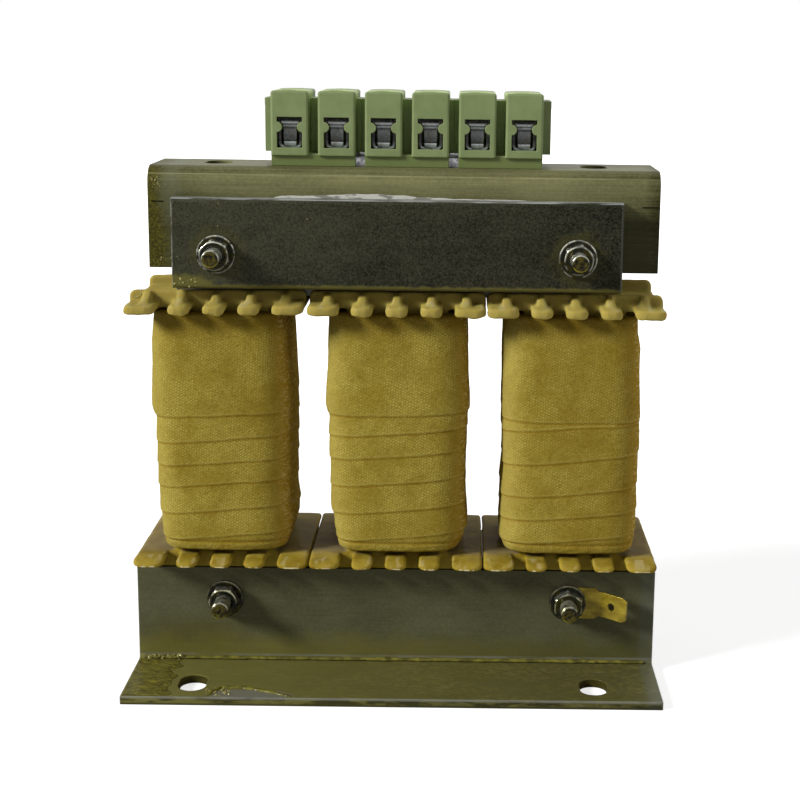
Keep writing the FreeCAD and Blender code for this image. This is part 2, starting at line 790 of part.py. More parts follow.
def wire_cage(x):
    """Zinc-plated clamp: a stirrup round the wire space with a threaded plate at its top."""
    y0 = clamp_y() - cage_depth / 2
    y1 = clamp_y() + cage_depth / 2
    low = cage_low()
    body = box(x - cage_width / 2, x + cage_width / 2, y0, y1, low, low + cage_height)
    inner = box(x - cage_width / 2 + cage_wall, x + cage_width / 2 - cage_wall, y0 - cut_margin, y1 + cut_margin,
                low + cage_wall, low + cage_height - cage_top)
    body = round_low_edges(body, cage_corner_radius, low)
    inner = round_low_edges(inner, cage_corner_radius - cage_wall, low + cage_wall)
    thread = post(clamp_screw_diameter, x, clamp_y(), low + cage_height - cage_top - cut_margin,
                  low + cage_height + cut_margin)
    return body.cut(inner).cut(thread)


def cage_low():
    """Underside of the cage, just clear of the floor of its cavity."""
    return window_low - (cavity_height - window_opening_height) / 2 + cage_floor_gap


def round_low_edges(body, radius, low):
    edges = []
    for edge in body.Edges:
        middle = edge.CenterOfMass
        along_y = edge.BoundBox.YLength > edge.BoundBox.XLength + edge.BoundBox.ZLength
        if along_y and abs(middle.z - low) < 1e-6:
            edges.append(edge)
    return body.makeFillet(radius, edges)


def strip_surface():
    """Upper face of the contact strip, where the clamp screw's tip presses on it."""
    return cage_low() + cage_height - cage_top - clamp_screw_reach


def contact_strip(x):
    """Flat strip through the cage, its front end turned down behind the window."""
    top = strip_surface()
    front = clamp_y() - cage_depth / 2 - strip_thickness
    half = strip_width / 2
    level = box(x - half, x + half, front, front + strip_reach_back, top - strip_thickness, top)
    drop = box(x - half, x + half, front, front + strip_thickness, top - strip_front_drop, top)
    body = level.fuse(drop).removeSplitter()
    corner = []
    for edge in body.Edges:
        middle = edge.CenterOfMass
        if abs(middle.y - front) < 1e-6 and abs(middle.z - top) < 1e-6:
            corner.append(edge)
    return body.makeFillet(strip_bend_radius, corner)


def clamp_screw(x):
    """Slotted screw through the cage's plate, pressing on the contact strip."""
    low = strip_surface()
    plate_top = cage_low() + cage_height
    head_low = plate_top + clamp_screw_head_lift
    head_high = head_low + clamp_screw_head_height
    shank = post(clamp_screw_diameter, x, clamp_y(), low, head_low)
    head = post(clamp_screw_head, x, clamp_y(), head_low, head_high)
    slot = box(x - clamp_screw_slot / 2, x + clamp_screw_slot / 2,
               clamp_y() - clamp_screw_head, clamp_y() + clamp_screw_head,
               head_high - clamp_screw_slot_depth, head_high + cut_margin)
    return head.fuse(shank).removeSplitter().cut(slot)


def save(name, shape):
    shape.exportStep("parts/" + name + ".step")


def group(solids):
    return Part.makeCompound(solids)


def main():
    os.makedirs("parts", exist_ok=True)
    save("core_e_stack", e_stack())
    save("core_yoke", upper_yoke())
    save("bottom_bracket_front", angle_bracket(-1))
    save("bottom_bracket_rear", angle_bracket(1))
    save("top_channel", top_channel())
    save("clamp_bar_front", clamp_bar(-1))
    save("clamp_bar_rear", clamp_bar(1))
    save("label", label())
    save("earth_tab", earth_tab())
    for name, solids in fastener_groups().items():
        save(name, group(solids))
    seams = {"left": left_tape_seams, "center": centre_tape_seams, "right": right_tape_seams}
    for side, x in leg_places.items():
        save("gap_spacer_" + side, gap_spacer(x))
        save("bobbin_" + side, bobbin(x))
        save("winding_" + side, winding(x))
        save("tape_wrap_" + side, tape_wrap(x, seams[side]))
    for index, side in enumerate(("left", "center", "right")):
        save("terminal_housing_" + side, terminal_housing(index))
    save("terminal_rail", terminal_rail())
    poles = []
    for cx in housing_places:
        poles += pole_places(cx)
    save("housing_screws", group([housing_screw(x) for x in housing_places]))
    save("wire_cages", group([wire_cage(x) for x in poles]))
    save("contact_strips", group([contact_strip(x) for x in poles]))
    save("clamp_screws", group([clamp_screw(x) for x in poles]))


main()
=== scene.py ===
import math
import random

import bmesh
import bpy
from mathutils import Matrix, Vector, noise
from mathutils.bvhtree import BVHTree


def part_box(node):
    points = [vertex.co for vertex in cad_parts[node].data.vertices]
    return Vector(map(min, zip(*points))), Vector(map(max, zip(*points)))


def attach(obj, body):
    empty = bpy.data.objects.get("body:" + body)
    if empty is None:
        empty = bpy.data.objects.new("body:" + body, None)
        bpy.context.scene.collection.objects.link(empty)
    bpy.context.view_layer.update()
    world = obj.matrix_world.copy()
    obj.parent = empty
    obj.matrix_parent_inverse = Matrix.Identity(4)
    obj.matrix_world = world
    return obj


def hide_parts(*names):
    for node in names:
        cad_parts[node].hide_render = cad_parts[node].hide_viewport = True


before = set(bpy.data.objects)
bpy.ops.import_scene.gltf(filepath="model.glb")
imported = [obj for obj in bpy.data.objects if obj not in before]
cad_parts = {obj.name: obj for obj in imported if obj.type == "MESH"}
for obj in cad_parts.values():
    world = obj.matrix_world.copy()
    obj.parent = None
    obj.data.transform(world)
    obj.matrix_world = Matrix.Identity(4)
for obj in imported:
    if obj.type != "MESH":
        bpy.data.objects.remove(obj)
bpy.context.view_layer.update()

# Looks of a three-phase reactor that was dipped in amber varnish.
# Sizes are millimetres and become metres where a mesh is made.
# X runs to the right, Y to the back, Z up.
MM = 0.001
scene = bpy.context.scene

# Camera, fitted to the photograph; the picture was cropped, so its middle is off the optical axis
photo_size = 800
optical_axis_pixel = (472.9, 387.3)
lens_length = 73.16
camera_place = Vector((17.7, -468.2, 181.8))
camera_pitch = 12.07
camera_yaw = 0.48
camera_roll = 0.83

# Light: each lamp by its direction, strength, softness in degrees and whether it is mirrored
lamps = {"key": (Vector((-0.78, -0.42, 0.46)), 4.1, 15.0, True),
         "back": (Vector((0.25, 0.93, 0.30)), 1.6, 50.0, False),
         "side": (Vector((0.95, -0.15, 0.22)), 1.1, 40.0, False)}
fill_strength = 0.19
floor_colour = 0.5
floor_glow = 0.72
floor_fade = (170.0, 520.0)

# Coils
coil_corner = 7.0
coil_top_edge = 1.1
coil_low_edge = 0.8
coil_low_taper = 5.0
coil_bulge = 1.1
coil_ease = 5
coil_ease_loss = 0.35
column_width = 0.7
row_height = 0.36
tape_lap = 0.32
thread_pitch = (0.94, 0.66)
thread_lean = 31.0
# Tape edges: waver, tilt to the sides, tilt of the last one, height of the band above it, height in which
# the step rises, place and half width of the highlight painted on it, and depth of the shadow painted under
# the next edge
seam_waver = 0.3
seam_tilt = 0.65
last_tilt = -0.25
last_band = 16.0
step_rise = 0.35
gleam_place = 0.6
gleam_width = 0.4
shadow_depth = 0.45
# Height of each tape edge on the front above the coil's foot
left_seams = (11.9, 19.7, 25.8, 32.5, 39.6)
centre_seams = (12.3, 20.4, 28.3, 34.9, 40.2)
right_seams = (10.8, 17.7, 27.4, 37.3, 38.8)
# Half widths to the left and right of the leg's axis at rising heights
left_forms = ((37, 17.0, 17.8), (41, 17.5, 18.9), (44, 17.8, 19.0), (50, 18.2, 18.5), (62, 18.7, 18.6),
              (75, 18.9, 18.7), (79, 19.9, 18.8), (96, 19.6, 18.2), (106, 18.9, 17.9))
centre_forms = ((37, 16.8, 17.3), (41, 17.4, 19.2), (44, 18.0, 19.8), (50, 18.8, 19.3), (57, 18.8, 19.2),
                (68, 19.3, 19.3), (75, 19.1, 19.5), (80, 19.9, 20.0), (96, 19.6, 19.6), (106, 19.3, 19.4))
right_forms = ((37, 18.6, 18.2), (41, 19.6, 18.8), (49, 19.3, 19.0), (62, 18.9, 19.1), (75, 19.3, 19.2),
               (81, 19.4, 19.1), (96, 19.5, 18.9), (102, 19.4, 17.9), (106, 19.3, 17.7))
# The coil ends a little above the solid wrap, turns in to shares of its half sizes and narrows at its foot
coil_rise = 0.5
inner_share = (0.74, 0.75)
foot_narrowing = 0.05
# Unevenness of the tape: broad lumps, small dimples and the crumpled foot, with their width and height
lump_height = 0.3
lump_size = (9.0, 13.0)
dimple_height = 0.07
dimple_size = (2.2, 1.7)
crumple_height = 0.35
crumple_size = (1.6, 0.8)
crumple_reach = 3.0
# Crease round the coil's foot: its depth and half width, its height, how much that rises in one turn, and the
# strength of the shade painted in it
fold_depth = 0.35
fold_place = 2.7
fold_rise = 0.5
fold_dark = 1.6
# Ranges over which the tape turns browner to the right and darker with painted shade below the upper flange
tape_brown_x = (20, 60)
tape_shade_z = (98.5, 104.5)
thread_drift = (1.4, 0.7, 0.0)

# Fasteners
bolt_radius = 2.5
bolt_pitch = 0.8
thread_depth = 0.16
thread_length = 14.0
# The thread begins a little behind the flat tip and grows to its full radius
thread_start = 0.45
first_thread_loss = 0.42
tip_loss = 0.75
# How bright the threads are: wear, with painted highlight
thread_wear_and_highlight = 0.75
head_height = 3.5
nut_flats = 8.0
nut_height = 4.0
nut_turns = (12, 50, 30, 0)
# Drop on a bolt's end: radius and place along the bolt from its tip
drop_line = ((2.1, 0.5), (2.2, 0.1), (2.05, -0.16), (1.75, -0.26), (1.4, -0.16), (1.05, -0.05), (0.6, -0.1),
             (0.02, -0.12))
washer_bore = 5.3
washer_width = 10.8
washer_thickness = 1.0
tab_thickness = 0.8
# Height between the two rows of bolts, the range over which the lower row's look turns into the upper row's,
# and the range of y over which the rear of the lower front washers begins
cad_middle_z = 83.0
row_split_z = (60, 90)
lower_washer_y = (-18.2, -17.9)

# Brackets: sheet, place of the bead before the wall in the bend, middle and half size of the foot slots
sheet = 2.5
bend_inset = 0.55
slot_x = 56.75
slot_y = 34.7
slot_half_x = 4.4
slot_half_y = 6.2

# Marks on single pieces; a reach of through goes from front to back
through = 99.0
smudge_place = (-62.4, -24.0, 111.8)
smudge_reach = (2.4, 5.0, 2.4)
bare_patch = (-40.0, -43.2, 2.5)
bare_reach = (11.5, 3.8, 0.8)
ridge_line = ((-51.6, -44.3), (-50.8, -42.1), (-48.4, -37.5), (-45.3, -37.9), (-42.2, -37.9), (-36.5, -40.0),
              (-31.3, -42.3), (-28.3, -44.3))
glue_place = (56.6, -16.0, 33.6)
glue_reach = (2.0, 3.0, 1.8)
stain_place = (-58.5, -16.0, 9.0)
stain_reach = (15.0, 3.0, 6.0)
housing_inside_y = (-9.5, 3.0)

# Label's loose edge: half its thickness, its height over the bar, what its left end and the hump add to
# that, the hump's middle and half width as shares of the length, the shares over which both ends sink, the
# ripple with its size, and how far the label's crest stands over its sides
label_half = 0.08
label_steps = 180
label_least = 0.15
label_left = 0.35
label_hump = 0.95
label_hump_place = 0.38
label_hump_width = 0.2
label_ends = (0.03, 0.06)
label_ripple = 0.22
ripple_size = 3.5
label_crest = 0.1

# Wire clamps: painted highlight and shade as lightness at rising heights, and the strap's section as y, z and
# half width
strap_bands = ((151.6, 0.35), (152.1, 0.85), (152.7, 0.5), (153.2, 0.6), (153.4, 0.02), (154.2, 0.1),
               (156.6, 0.17), (157.2, 0.05), (157.7, 0.5), (158.1, 0.1), (158.6, 0.5), (159.1, 0.02))
cage_bands = ((151.4, 0.35), (151.9, 0.6), (152.6, 0.12), (153.8, 0.02))
strap_line = ((-9.85, 160.0, 2.95), (-9.95, 159.3, 2.9), (-10.3, 158.6, 2.5), (-10.3, 158.1, 2.1),
              (-10.0, 157.5, 1.95), (-9.95, 156.8, 1.9), (-10.05, 155.4, 1.9), (-10.0, 154.0, 1.85),
              (-9.95, 153.5, 1.8), (-10.15, 153.1, 1.8), (-10.1, 152.4, 1.7), (-9.8, 151.9, 1.5))
strap_thickness = 0.3
strap_edge = 0.15
strip_width = 4.2
strip_thickness = 0.6
strip_count = 6

# Varnish beads and the pool on the front foot: how far they reach into what they lie on, tries for beads at
# each tooth of a bobbin, and their form
film_sink = 0.05
beads_each = 5
bead_rings = 5
bead_flatness = 0.75
pool_size = (16.0, 27.0)
pool_cell = 0.3
pool_reach = 12.5
pool_waver = 3.0
pool_depth = 0.3
pool_slope = 0.1
pool_wrinkle = 0.13

# Core: pitch of its sheets, half the gap between two, how much they differ in size, radius of the bolt holes,
# and height of the yoke under the legs over the bobbins' foot
lamination = 0.5
lamination_gap = 0.015
size_spread = 0.09
bolt_hole = 3.0
shoulder_rise = 2.9

# Points nearer than this count as one
same_point = 0.002

# Flanges under varnish: size of the cells, smoothing steps, thickness of the coat, ripple up and sideways
melt_voxel = 0.42
melt_passes = 11
melt_coat = 0.26
melt_ripple = (0.14, 0.10)
# The left bobbin's upper flange sits a little to the left and aslant
left_flange_shift = (-0.6, -0.1)
left_flange_slope = 0.012
# Lips: sag of the lower and upper flange, slope of the lower one's top, spread of the upper one's teeth
lip_sag = (0.1, 0.7)
lip_slope = 0.9
lip_spread = 0.16
lip_reach = 4.0
tip_length = 2.4
tip_narrowing = 0.4
tooth_places = (-20.6, -9.6, 0.0, 9.6, 20.6)
# Bobbin: height of each end that melts, how far the tube reaches into it, how far the tops of the lower
# and the upper plate lie from the bobbin's ends, and the plates' thickness
flange_height = 9.0
tube_overlap = 0.4
lower_plate = 4.5
upper_plate = 2.9
plate_thickness = 1.6


def span(node):
    """Lowest and highest corner of a CAD node in millimetres."""
    low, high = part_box(node)
    return low / MM, high / MM


def middle(node):
    low, high = span(node)
    return (low + high) / 2


def limited(value):
    """The value, kept between 0 and 1."""
    return min(1.0, max(0.0, value))


def tone(red, green, blue):
    """Linear colour of a screen colour whose parts run from 0 to 255."""
    parts = []
    for value in (red, green, blue):
        value = value / 255
        parts.append(value / 12.92 if value <= 0.04045 else ((value + 0.055) / 1.055) ** 2.4)
    return (*parts, 1.0)


class Field:
    """Value that nodes work out from place to place; sums and products of it make more nodes."""

    def __init__(self, graph, socket):
        self.graph = graph
        self.socket = socket

    def __add__(self, other):
        return self.graph.calc("ADD", self, other)

    def __radd__(self, other):
        return self.graph.calc("ADD", other, self)

    def __sub__(self, other):
        return self.graph.calc("SUBTRACT", self, other)

    def __rsub__(self, other):
        return self.graph.calc("SUBTRACT", other, self)

    def __mul__(self, other):
        return self.graph.calc("MULTIPLY", self, other)

    def __truediv__(self, other):
        return self.graph.calc("DIVIDE", self, other)

    def __abs__(self):
        return self.graph.calc("ABSOLUTE", self)

    def at_least(self, other):
        return self.graph.calc("MAXIMUM", self, other)


class Graph:
    """Nodes of a material or a world in the making."""

    def __init__(self, tree):
        self.nodes = tree.nodes
        self.links = tree.links

    def put(self, socket, value):
        if isinstance(value, Field):
            self.links.new(value.socket, socket)
        else:
            socket.default_value = value

    def field(self, kind, output, inputs=None, **settings):
        """One output of a new node, whose inputs are plain values or fields."""
        made = self.nodes.new(kind)
        for key, value in settings.items():
            setattr(made, key, value)
        for key, value in (inputs or {}).items():
            self.put(made.inputs[key], value)
        return Field(self, made.outputs[output])

    def calc(self, operation, a, b=0.0):
        return self.field("ShaderNodeMath", 0, {0: a, 1: b}, operation=operation)

    def vector(self, operation, *parts, output=0):
        return self.field("ShaderNodeVectorMath", output, dict(enumerate(parts)), operation=operation)


class Finish(Graph):
    """A material in the making."""

    def __init__(self, name, **numbers):
        self.material = bpy.data.materials.new(name)
        self.material.use_nodes = True
        super().__init__(self.material.node_tree)
        self.shader = self.nodes["Principled BSDF"]
        for key, value in numbers.items():
            self.shader.inputs[key.replace("_", " ")].default_value = value
        self.place = self.field("ShaderNodeTexCoord", "Object")
        self.colour = None

    def sized(self, size, stretch=(1, 1, 1)):
        """Coordinates in which one unit is size millimetres, times stretch."""
        return self.vector("MULTIPLY", self.place, [1 / (MM * size * share) for share in stretch])

    def noise_at(self, vector, detail=2.0, rough=0.5, warp=0.0, output="Fac"):
        inputs = {"Vector": vector, "Scale": 1.0, "Detail": detail, "Roughness": rough, "Distortion": warp}
        return self.field("ShaderNodeTexNoise", output, inputs)

    def grain(self, size, stretch=(1, 1, 1), detail=3.0, rough=0.55, warp=0.0):
        """Noise from about 0 to 1 whose lumps are size millimetres, times stretch."""
        return self.noise_at(self.sized(size, stretch), detail, rough, warp)

    def part(self, vector, index):
        return self.field("ShaderNodeSeparateXYZ", index, {0: vector})

    def axis(self, index):
        """One coordinate in millimetres."""
        return self.part(self.sized(1.0), index)

    def facing(self, index):
        """One part of the outward direction, in the object's own axes."""
        return self.part(self.field("ShaderNodeTexCoord", "Normal"), index)

    def attribute(self, name):
        return self.field("ShaderNodeAttribute", "Fac", attribute_name=name)

    def ramp(self, value, low, high):
        """0 below low and 1 above high, smooth between."""
        inputs = {"Value": value, "From Min": low, "From Max": high}
        return self.field("ShaderNodeMapRange", "Result", inputs, interpolation_type="SMOOTHSTEP")

    def fall(self, value, low, high):
        """1 below low and 0 above high, smooth between."""
        return 1.0 - self.ramp(value, low, high)

    def blots(self, size, low, high, *stretch, **settings):
        """Grain with its contrast raised, so that it lies between 0 and 1."""
        return self.ramp(self.grain(size, *stretch, **settings), low, high)

    def between(self, value, low, high, soft):
        """1 between low and high, 0 outside."""
        return self.ramp(value, low - soft, low + soft) - self.ramp(value, high - soft, high + soft)

    def mix(self, a, b, factor):
        """Blend of two colours, each a field or a screen colour."""
        a, b = [value if isinstance(value, Field) else tone(*value) for value in (a, b)]
        return self.field("ShaderNodeMix", 2, {6: a, 7: b, 0: factor}, data_type="RGBA")

    def lay(self, colour, share):
        """Covers the colour so far with another."""
        self.colour = self.mix(self.colour, colour, share)

    def bump(self, height, depth, over=None):
        """Normal of a height that runs from 0 to 1 and stands for depth millimetres."""
        inputs = {"Height": height, "Distance": depth * MM}
        if over is not None:
            inputs["Normal"] = over
        return self.field("ShaderNodeBump", "Normal", inputs)

    def spot(self, centre, reach, ragged=0.3, soft=0.15):
        """1 inside an ellipsoid round a place, 0 outside, with a ragged, soft rim."""
        scale = [1 / (MM * share) for share in reach]
        shift = [-place / share for place, share in zip(centre, reach)]
        away = self.vector("LENGTH", self.vector("MULTIPLY_ADD", self.place, scale, shift), output="Value")
        return self.fall(away + self.grain(1.6) * ragged - ragged / 2, 1 - soft, 1 + soft)

    def close(self, roughness=None, normal=None):
        for name, value in (("Base Color", self.colour), ("Roughness", roughness), ("Normal", normal)):
            if value is not None:
                self.put(self.shader.inputs[name], value)
        return self.material


def tape_finish():
    """Woven tape soaked in varnish; the map gives millimetres along and across the threads."""
    f = Finish("tape", Specular_IOR_Level=0.0, Coat_Roughness=0.12)
    drift = f.vector("MULTIPLY", f.noise_at(f.sized(3.0), output="Color"), thread_drift)
    weave = f.vector("ADD", f.field("ShaderNodeUVMap", "UV", uv_map="weave"), drift)
    across = f.part(weave, 1)
    row = f.calc("FLOOR", across / thread_pitch[1])
    along = f.part(weave, 0) + row * (thread_pitch[0] / 2)

    def wave(place, pitch):
        return abs(f.calc("SINE", place * (math.pi / pitch)))

    knots = wave(along, thread_pitch[0]) * wave(across, thread_pitch[1])
    threads = f.noise_at(f.vector("MULTIPLY", weave, (0.8, 2.8, 1.0)))
    patch = f.blots(6.0, 0.32, 0.68, rough=0.6)
    height = knots * (0.3 + patch * 0.7) * 0.35 + threads * 0.8
    pale = f.mix((147, 130, 51), (160, 145, 63), f.blots(12.0, 0.34, 0.7, detail=4, rough=0.6))
    f.colour = f.mix(f.mix(pale, (104, 82, 16), 0.52), pale, f.ramp(height, 0.26, 0.8))
    dots = f.ramp(knots * (threads + 0.3), 0.55, 0.85)
    f.lay((198, 186, 114), dots * (patch * 0.36))
    f.lay((112, 88, 22), f.ramp(f.axis(0), *tape_brown_x) * 0.22)
    fibre = f.blots(0.55, 0.48, 0.7, (1.6, 1.6, 1))
    f.lay((96, 78, 16), fibre * 0.32)
    sideways = f.facing(0)
    # Painted light: left-facing sides paler where the key light falls, right-facing sides browner as painted
    # shade
    f.lay((170, 157, 86), f.ramp(sideways * -1.0, 0.0, 1.0) * 0.35)
    f.lay((156, 118, 36), f.ramp(sideways, 0.2, 1.0) * 0.55)
    # Painted shade below the upper flange
    f.lay((88, 62, 8), f.ramp(f.axis(2), *tape_shade_z) * 0.5)
    # Seam values: where positive, painted shadow under each tape edge and in the foot's crease, in the amber
    # of the varnish line there; where negative, a painted highlight on each step
    seam = f.attribute("seam")
    f.lay((128, 92, 12), seam.at_least(0.0) * 0.75)
    f.lay((180, 164, 84), (seam * -1.0).at_least(0.0) * 0.28)
    frayed = f.blots(0.5, 0.5, 0.62, (4, 4, 1), detail=2) * f.ramp(sideways, 0.6, 0.95)
    f.lay((196, 178, 116), frayed * 0.5)
    flat = f.ramp(abs(f.facing(1)), 0.35, 0.8) * 0.6
    f.put(f.shader.inputs["Coat Weight"], dots * patch * flat)
    return f.close(0.42 + threads * 0.25, f.bump(fibre, 0.04, f.bump(height, 0.1)))


def amber_plastic():
    """Bobbin plastic under glossy varnish, with a dark smudge where the clamp bar meets the left one, painted
    light on the upper flange, painted sheen and reflection on upward faces, and painted highlights along the
    lower teeth's fronts.
    """
    f = Finish("bobbin_amber", Coat_Weight=0.06, Coat_Roughness=0.06, Specular_IOR_Level=0.0,
               Subsurface_Weight=0.3, Subsurface_Radius=(1.0, 0.6, 0.1), Subsurface_Scale=0.003)
    low, high = span("bobbin_center")
    y, z, upright = f.axis(1), f.axis(2), f.facing(2)
    f.colour = f.mix((122, 102, 26), (150, 131, 50), f.blots(7.0, 0.3, 0.7, detail=4))
    # Painted light: the upper flange paler, lifting the shade under the clamp bar
    f.lay((166, 152, 84), f.ramp(z, high.z - 13, high.z - 5) * 0.6)
    # Painted sheen on the upward faces near the flange fronts
    sheen = f.blots(2.4, 0.5, 0.66, (1, 4, 2), detail=1)
    lobes = f.ramp(upright, 0.4, 0.9) * f.between(y, low.y - 0.5, low.y + 6, 0.5)
    f.lay((170, 158, 112), sheen * lobes * 0.5)
    # Painted reflection: the lower flange's top turns grey towards the back
    far = f.mix((116, 106, 90), (156, 145, 110), f.ramp(y, 8, high.y))
    plate = f.ramp(upright, 0.6, 0.9) * f.ramp(y, low.y + 6, low.y + 14) * f.fall(z, low.z + 5, low.z + 6)
    f.lay(far, plate * 0.6)
    f.lay((96, 72, 8), f.blots(0.7, 0.62, 0.75, detail=2) * 0.3)
    smudge = f.spot(smudge_place, smudge_reach, 0.5) * f.blots(0.8, 0.4, 0.55)
    f.lay((44, 42, 44), smudge)
    # Painted highlight along the front edges of the lower teeth
    tips = f.ramp(abs(y), high.y - 0.1, high.y + 0.1)
    tooth_front_highlight = f.between(z, low.z + 2.7, low.z + 3.25, 0.12) * tips * f.blots(2.0, 0.4, 0.55, detail=2)
    f.lay((236, 226, 184), tooth_front_highlight * 0.75)
    ripple = f.bump(f.grain(3.2, detail=2), 0.15)
    return f.close(0.2 + f.grain(2.5) * 0.22, f.bump(f.grain(0.5, detail=1), 0.02, ripple))


def varnish(name, dark, light, gloss=1.0, grain=1.6, under=None):
    """Thick amber varnish: glossy, with small wrinkles; under is the colour of a painted highlight where it
    bulges downwards.
    """
    f = Finish(name, Coat_Weight=gloss, Coat_Roughness=0.05, Roughness=0.4, Specular_IOR_Level=0.03)
    f.colour = f.mix(dark, light, f.blots(grain, 0.35, 0.65))
    # Painted highlight: gold where the varnish bulges downwards
    if under is not None:
        f.lay(under, f.fall(f.facing(2), -0.6, -0.15) * 0.7)
    return f.close(None, f.bump(f.grain(0.8, warp=0.6), 0.1))


def pool_finish():
    """Varnish that ran together in thin bright wrinkles."""
    f = Finish("varnish_pool", Specular_IOR_Level=0.03, Coat_Weight=0.05, Roughness=0.45)
    wrinkle = f.fall(abs(f.grain(1.5, (3, 1, 1), detail=2, warp=0.5) - 0.5), 0.0, 0.05)
    f.colour = f.mix((76, 72, 32), (96, 91, 42), f.blots(2.0, 0.4, 0.6))
    f.lay((136, 127, 42), wrinkle * 0.6)
    return f.close(None, f.bump(wrinkle, 0.08))


def fading(f, marks, axis=0):
    """Lightness along an axis through marks of place and share."""
    value = marks[0][1]
    for (start, a), (end, b) in zip(marks, marks[1:]):
        value = value + f.ramp(f.axis(axis), start, end) * (b - a)
    return value


def plated_sheet(name):
    """Plated sheet under thin varnish, without its colour."""
    return Finish(name, Metallic=0.2, Specular_IOR_Level=0.04, Coat_Weight=0.04, Coat_Roughness=0.25)


def sheet_colour(f, dark, light, marks, tints, rise=((0, 0),), dust_size=0.8, dust_share=1.3, roll_share=0.5):
    """Colour of plated sheet: it fades along X by marks and along Z by rise, with cloudy film, speckle and
    rolling lines. Each tint is a colour and where it lies."""
    cloud = f.blots(14.0, 0.25, 0.75, (2.0, 1, 1), detail=5, rough=0.6)
    dust = f.grain(dust_size, detail=4, rough=0.75)
    rolled = f.grain(0.5, (60, 1, 1))
    share = cloud * 0.3 + fading(f, marks) * 0.7 + fading(f, rise, 2)
    share = share + (dust - 0.5) * dust_share + (rolled - 0.5) * roll_share
    f.colour = f.mix(dark, light, share)
    for over, mask in tints:
        f.lay(over, mask)
    return f.close(0.36 + cloud * 0.16, f.bump(dust, 0.03, f.bump(cloud, 0.05)))


def bar_steel():
    """Dark speckled bar: amber along its foot and round the bolts, worn bright at its rims, where its top and
    left rims also carry a painted highlight.
    """
    low, high = span("clamp_bar_front")
    f = plated_sheet("bar_steel")
    x, z = f.axis(0), f.axis(2)
    marks = ((low.x, 0.75), (low.x + 35, 0.5), (high.x - 30, 0.35), (high.x, 0.2))
    lower = f.fall(z - f.grain(3.0) * 1.4, low.z, low.z + 1.0)
    corner = f.spot((low.x + 3, 0, low.z), (9, through, 4), 0.6)
    bolt_z = middle("upper_bolts").z
    halos = [f.spot((place, 0, bolt_z), (7.2, through, 7.2), 1.4, 0.3) for place in bolt_places()]
    # Top and left rims: wear and painted highlight
    rims = f.ramp(z, high.z - 0.35, high.z - 0.2).at_least(f.fall(x, low.x + 0.3, low.x + 0.5) * 0.4)
    wear_and_highlight = rims * f.blots(2.0, 0.3, 0.6, (6, 1, 1))
    tints = (((104, 99, 48), lower.at_least(corner) * 0.75),
             ((84, 80, 34), (halos[0] + halos[1]) * 0.3),
             ((88, 90, 80), f.ramp(x, high.x - 0.8, high.x - 0.5) * 0.5),
             ((168, 170, 166), wear_and_highlight * 0.8))
    return sheet_colour(f, (7, 8, 4), (72, 72, 56), marks, tints,
                        dust_size=0.5, dust_share=2.2, roll_share=0.2)


def channel_steel():
    """Upper channel: amber at its left end, painted reflection in bands under the bend with a pale painted
    highlight along it, painted shadow of the clamp bar towards the lower right and painted shade at the right
    end.
    """
    low, high = span("top_channel")
    f = plated_sheet("channel_steel")
    x, z = f.axis(0), f.axis(2)
    # Lighter in the middle as painted reflection, painted shade at the right end; rise paints highlight and
    # shade in bands under the bend
    marks = ((low.x, 0.35), (low.x + 25, 0.7), (high.x - 45, 0.85), (high.x - 5, 0.65), (high.x, 0.1))
    rise = ((high.z - 9, -0.1), (high.z - 5, 0.12), (high.z - 2.6, 0.1), (high.z - 1.6, -0.12),
            (high.z - 0.4, 0.0))
    amber = f.mix((56, 53, 16), (92, 87, 26), f.blots(0.6, 0.38, 0.7, detail=4))
    left = f.fall(x - f.grain(5.0) * 6.0, low.x - 0.5, low.x + 4.0)
    haze = f.spot((low.x + 6, 0, high.z - 5), (3, through, 9), 1.2, 0.7)
    # Painted highlight along the bend
    bend = f.between(z, high.z - 2.3, high.z - 2.05, 0.1) * f.blots(1.5, 0.35, 0.55, (14, 1, 1))
    joint_z = middle("top_channel").z + 4.1
    ends = f.between(x, low.x + 1.0, low.x + 4.5, 0.2) + f.between(x, high.x - 5.0, high.x - 0.2, 0.2)
    joints = f.between(z, joint_z, joint_z + 0.4, 0.1) * ends
    # Painted shadow of the clamp bar
    shade = f.ramp(x, high.x - 14, high.x - 9) * f.fall(z, high.z - 15, high.z - 9)
    tints = ((amber, left * 0.85), ((112, 114, 96), haze * 0.3), ((158, 158, 118), bend * 0.45),
             ((20, 19, 8), joints), ((22, 22, 12), shade * 0.7))
    return sheet_colour(f, (50, 48, 22), (120, 119, 82), marks, tints, rise,
                        dust_size=1.0, dust_share=0.8, roll_share=0.7)


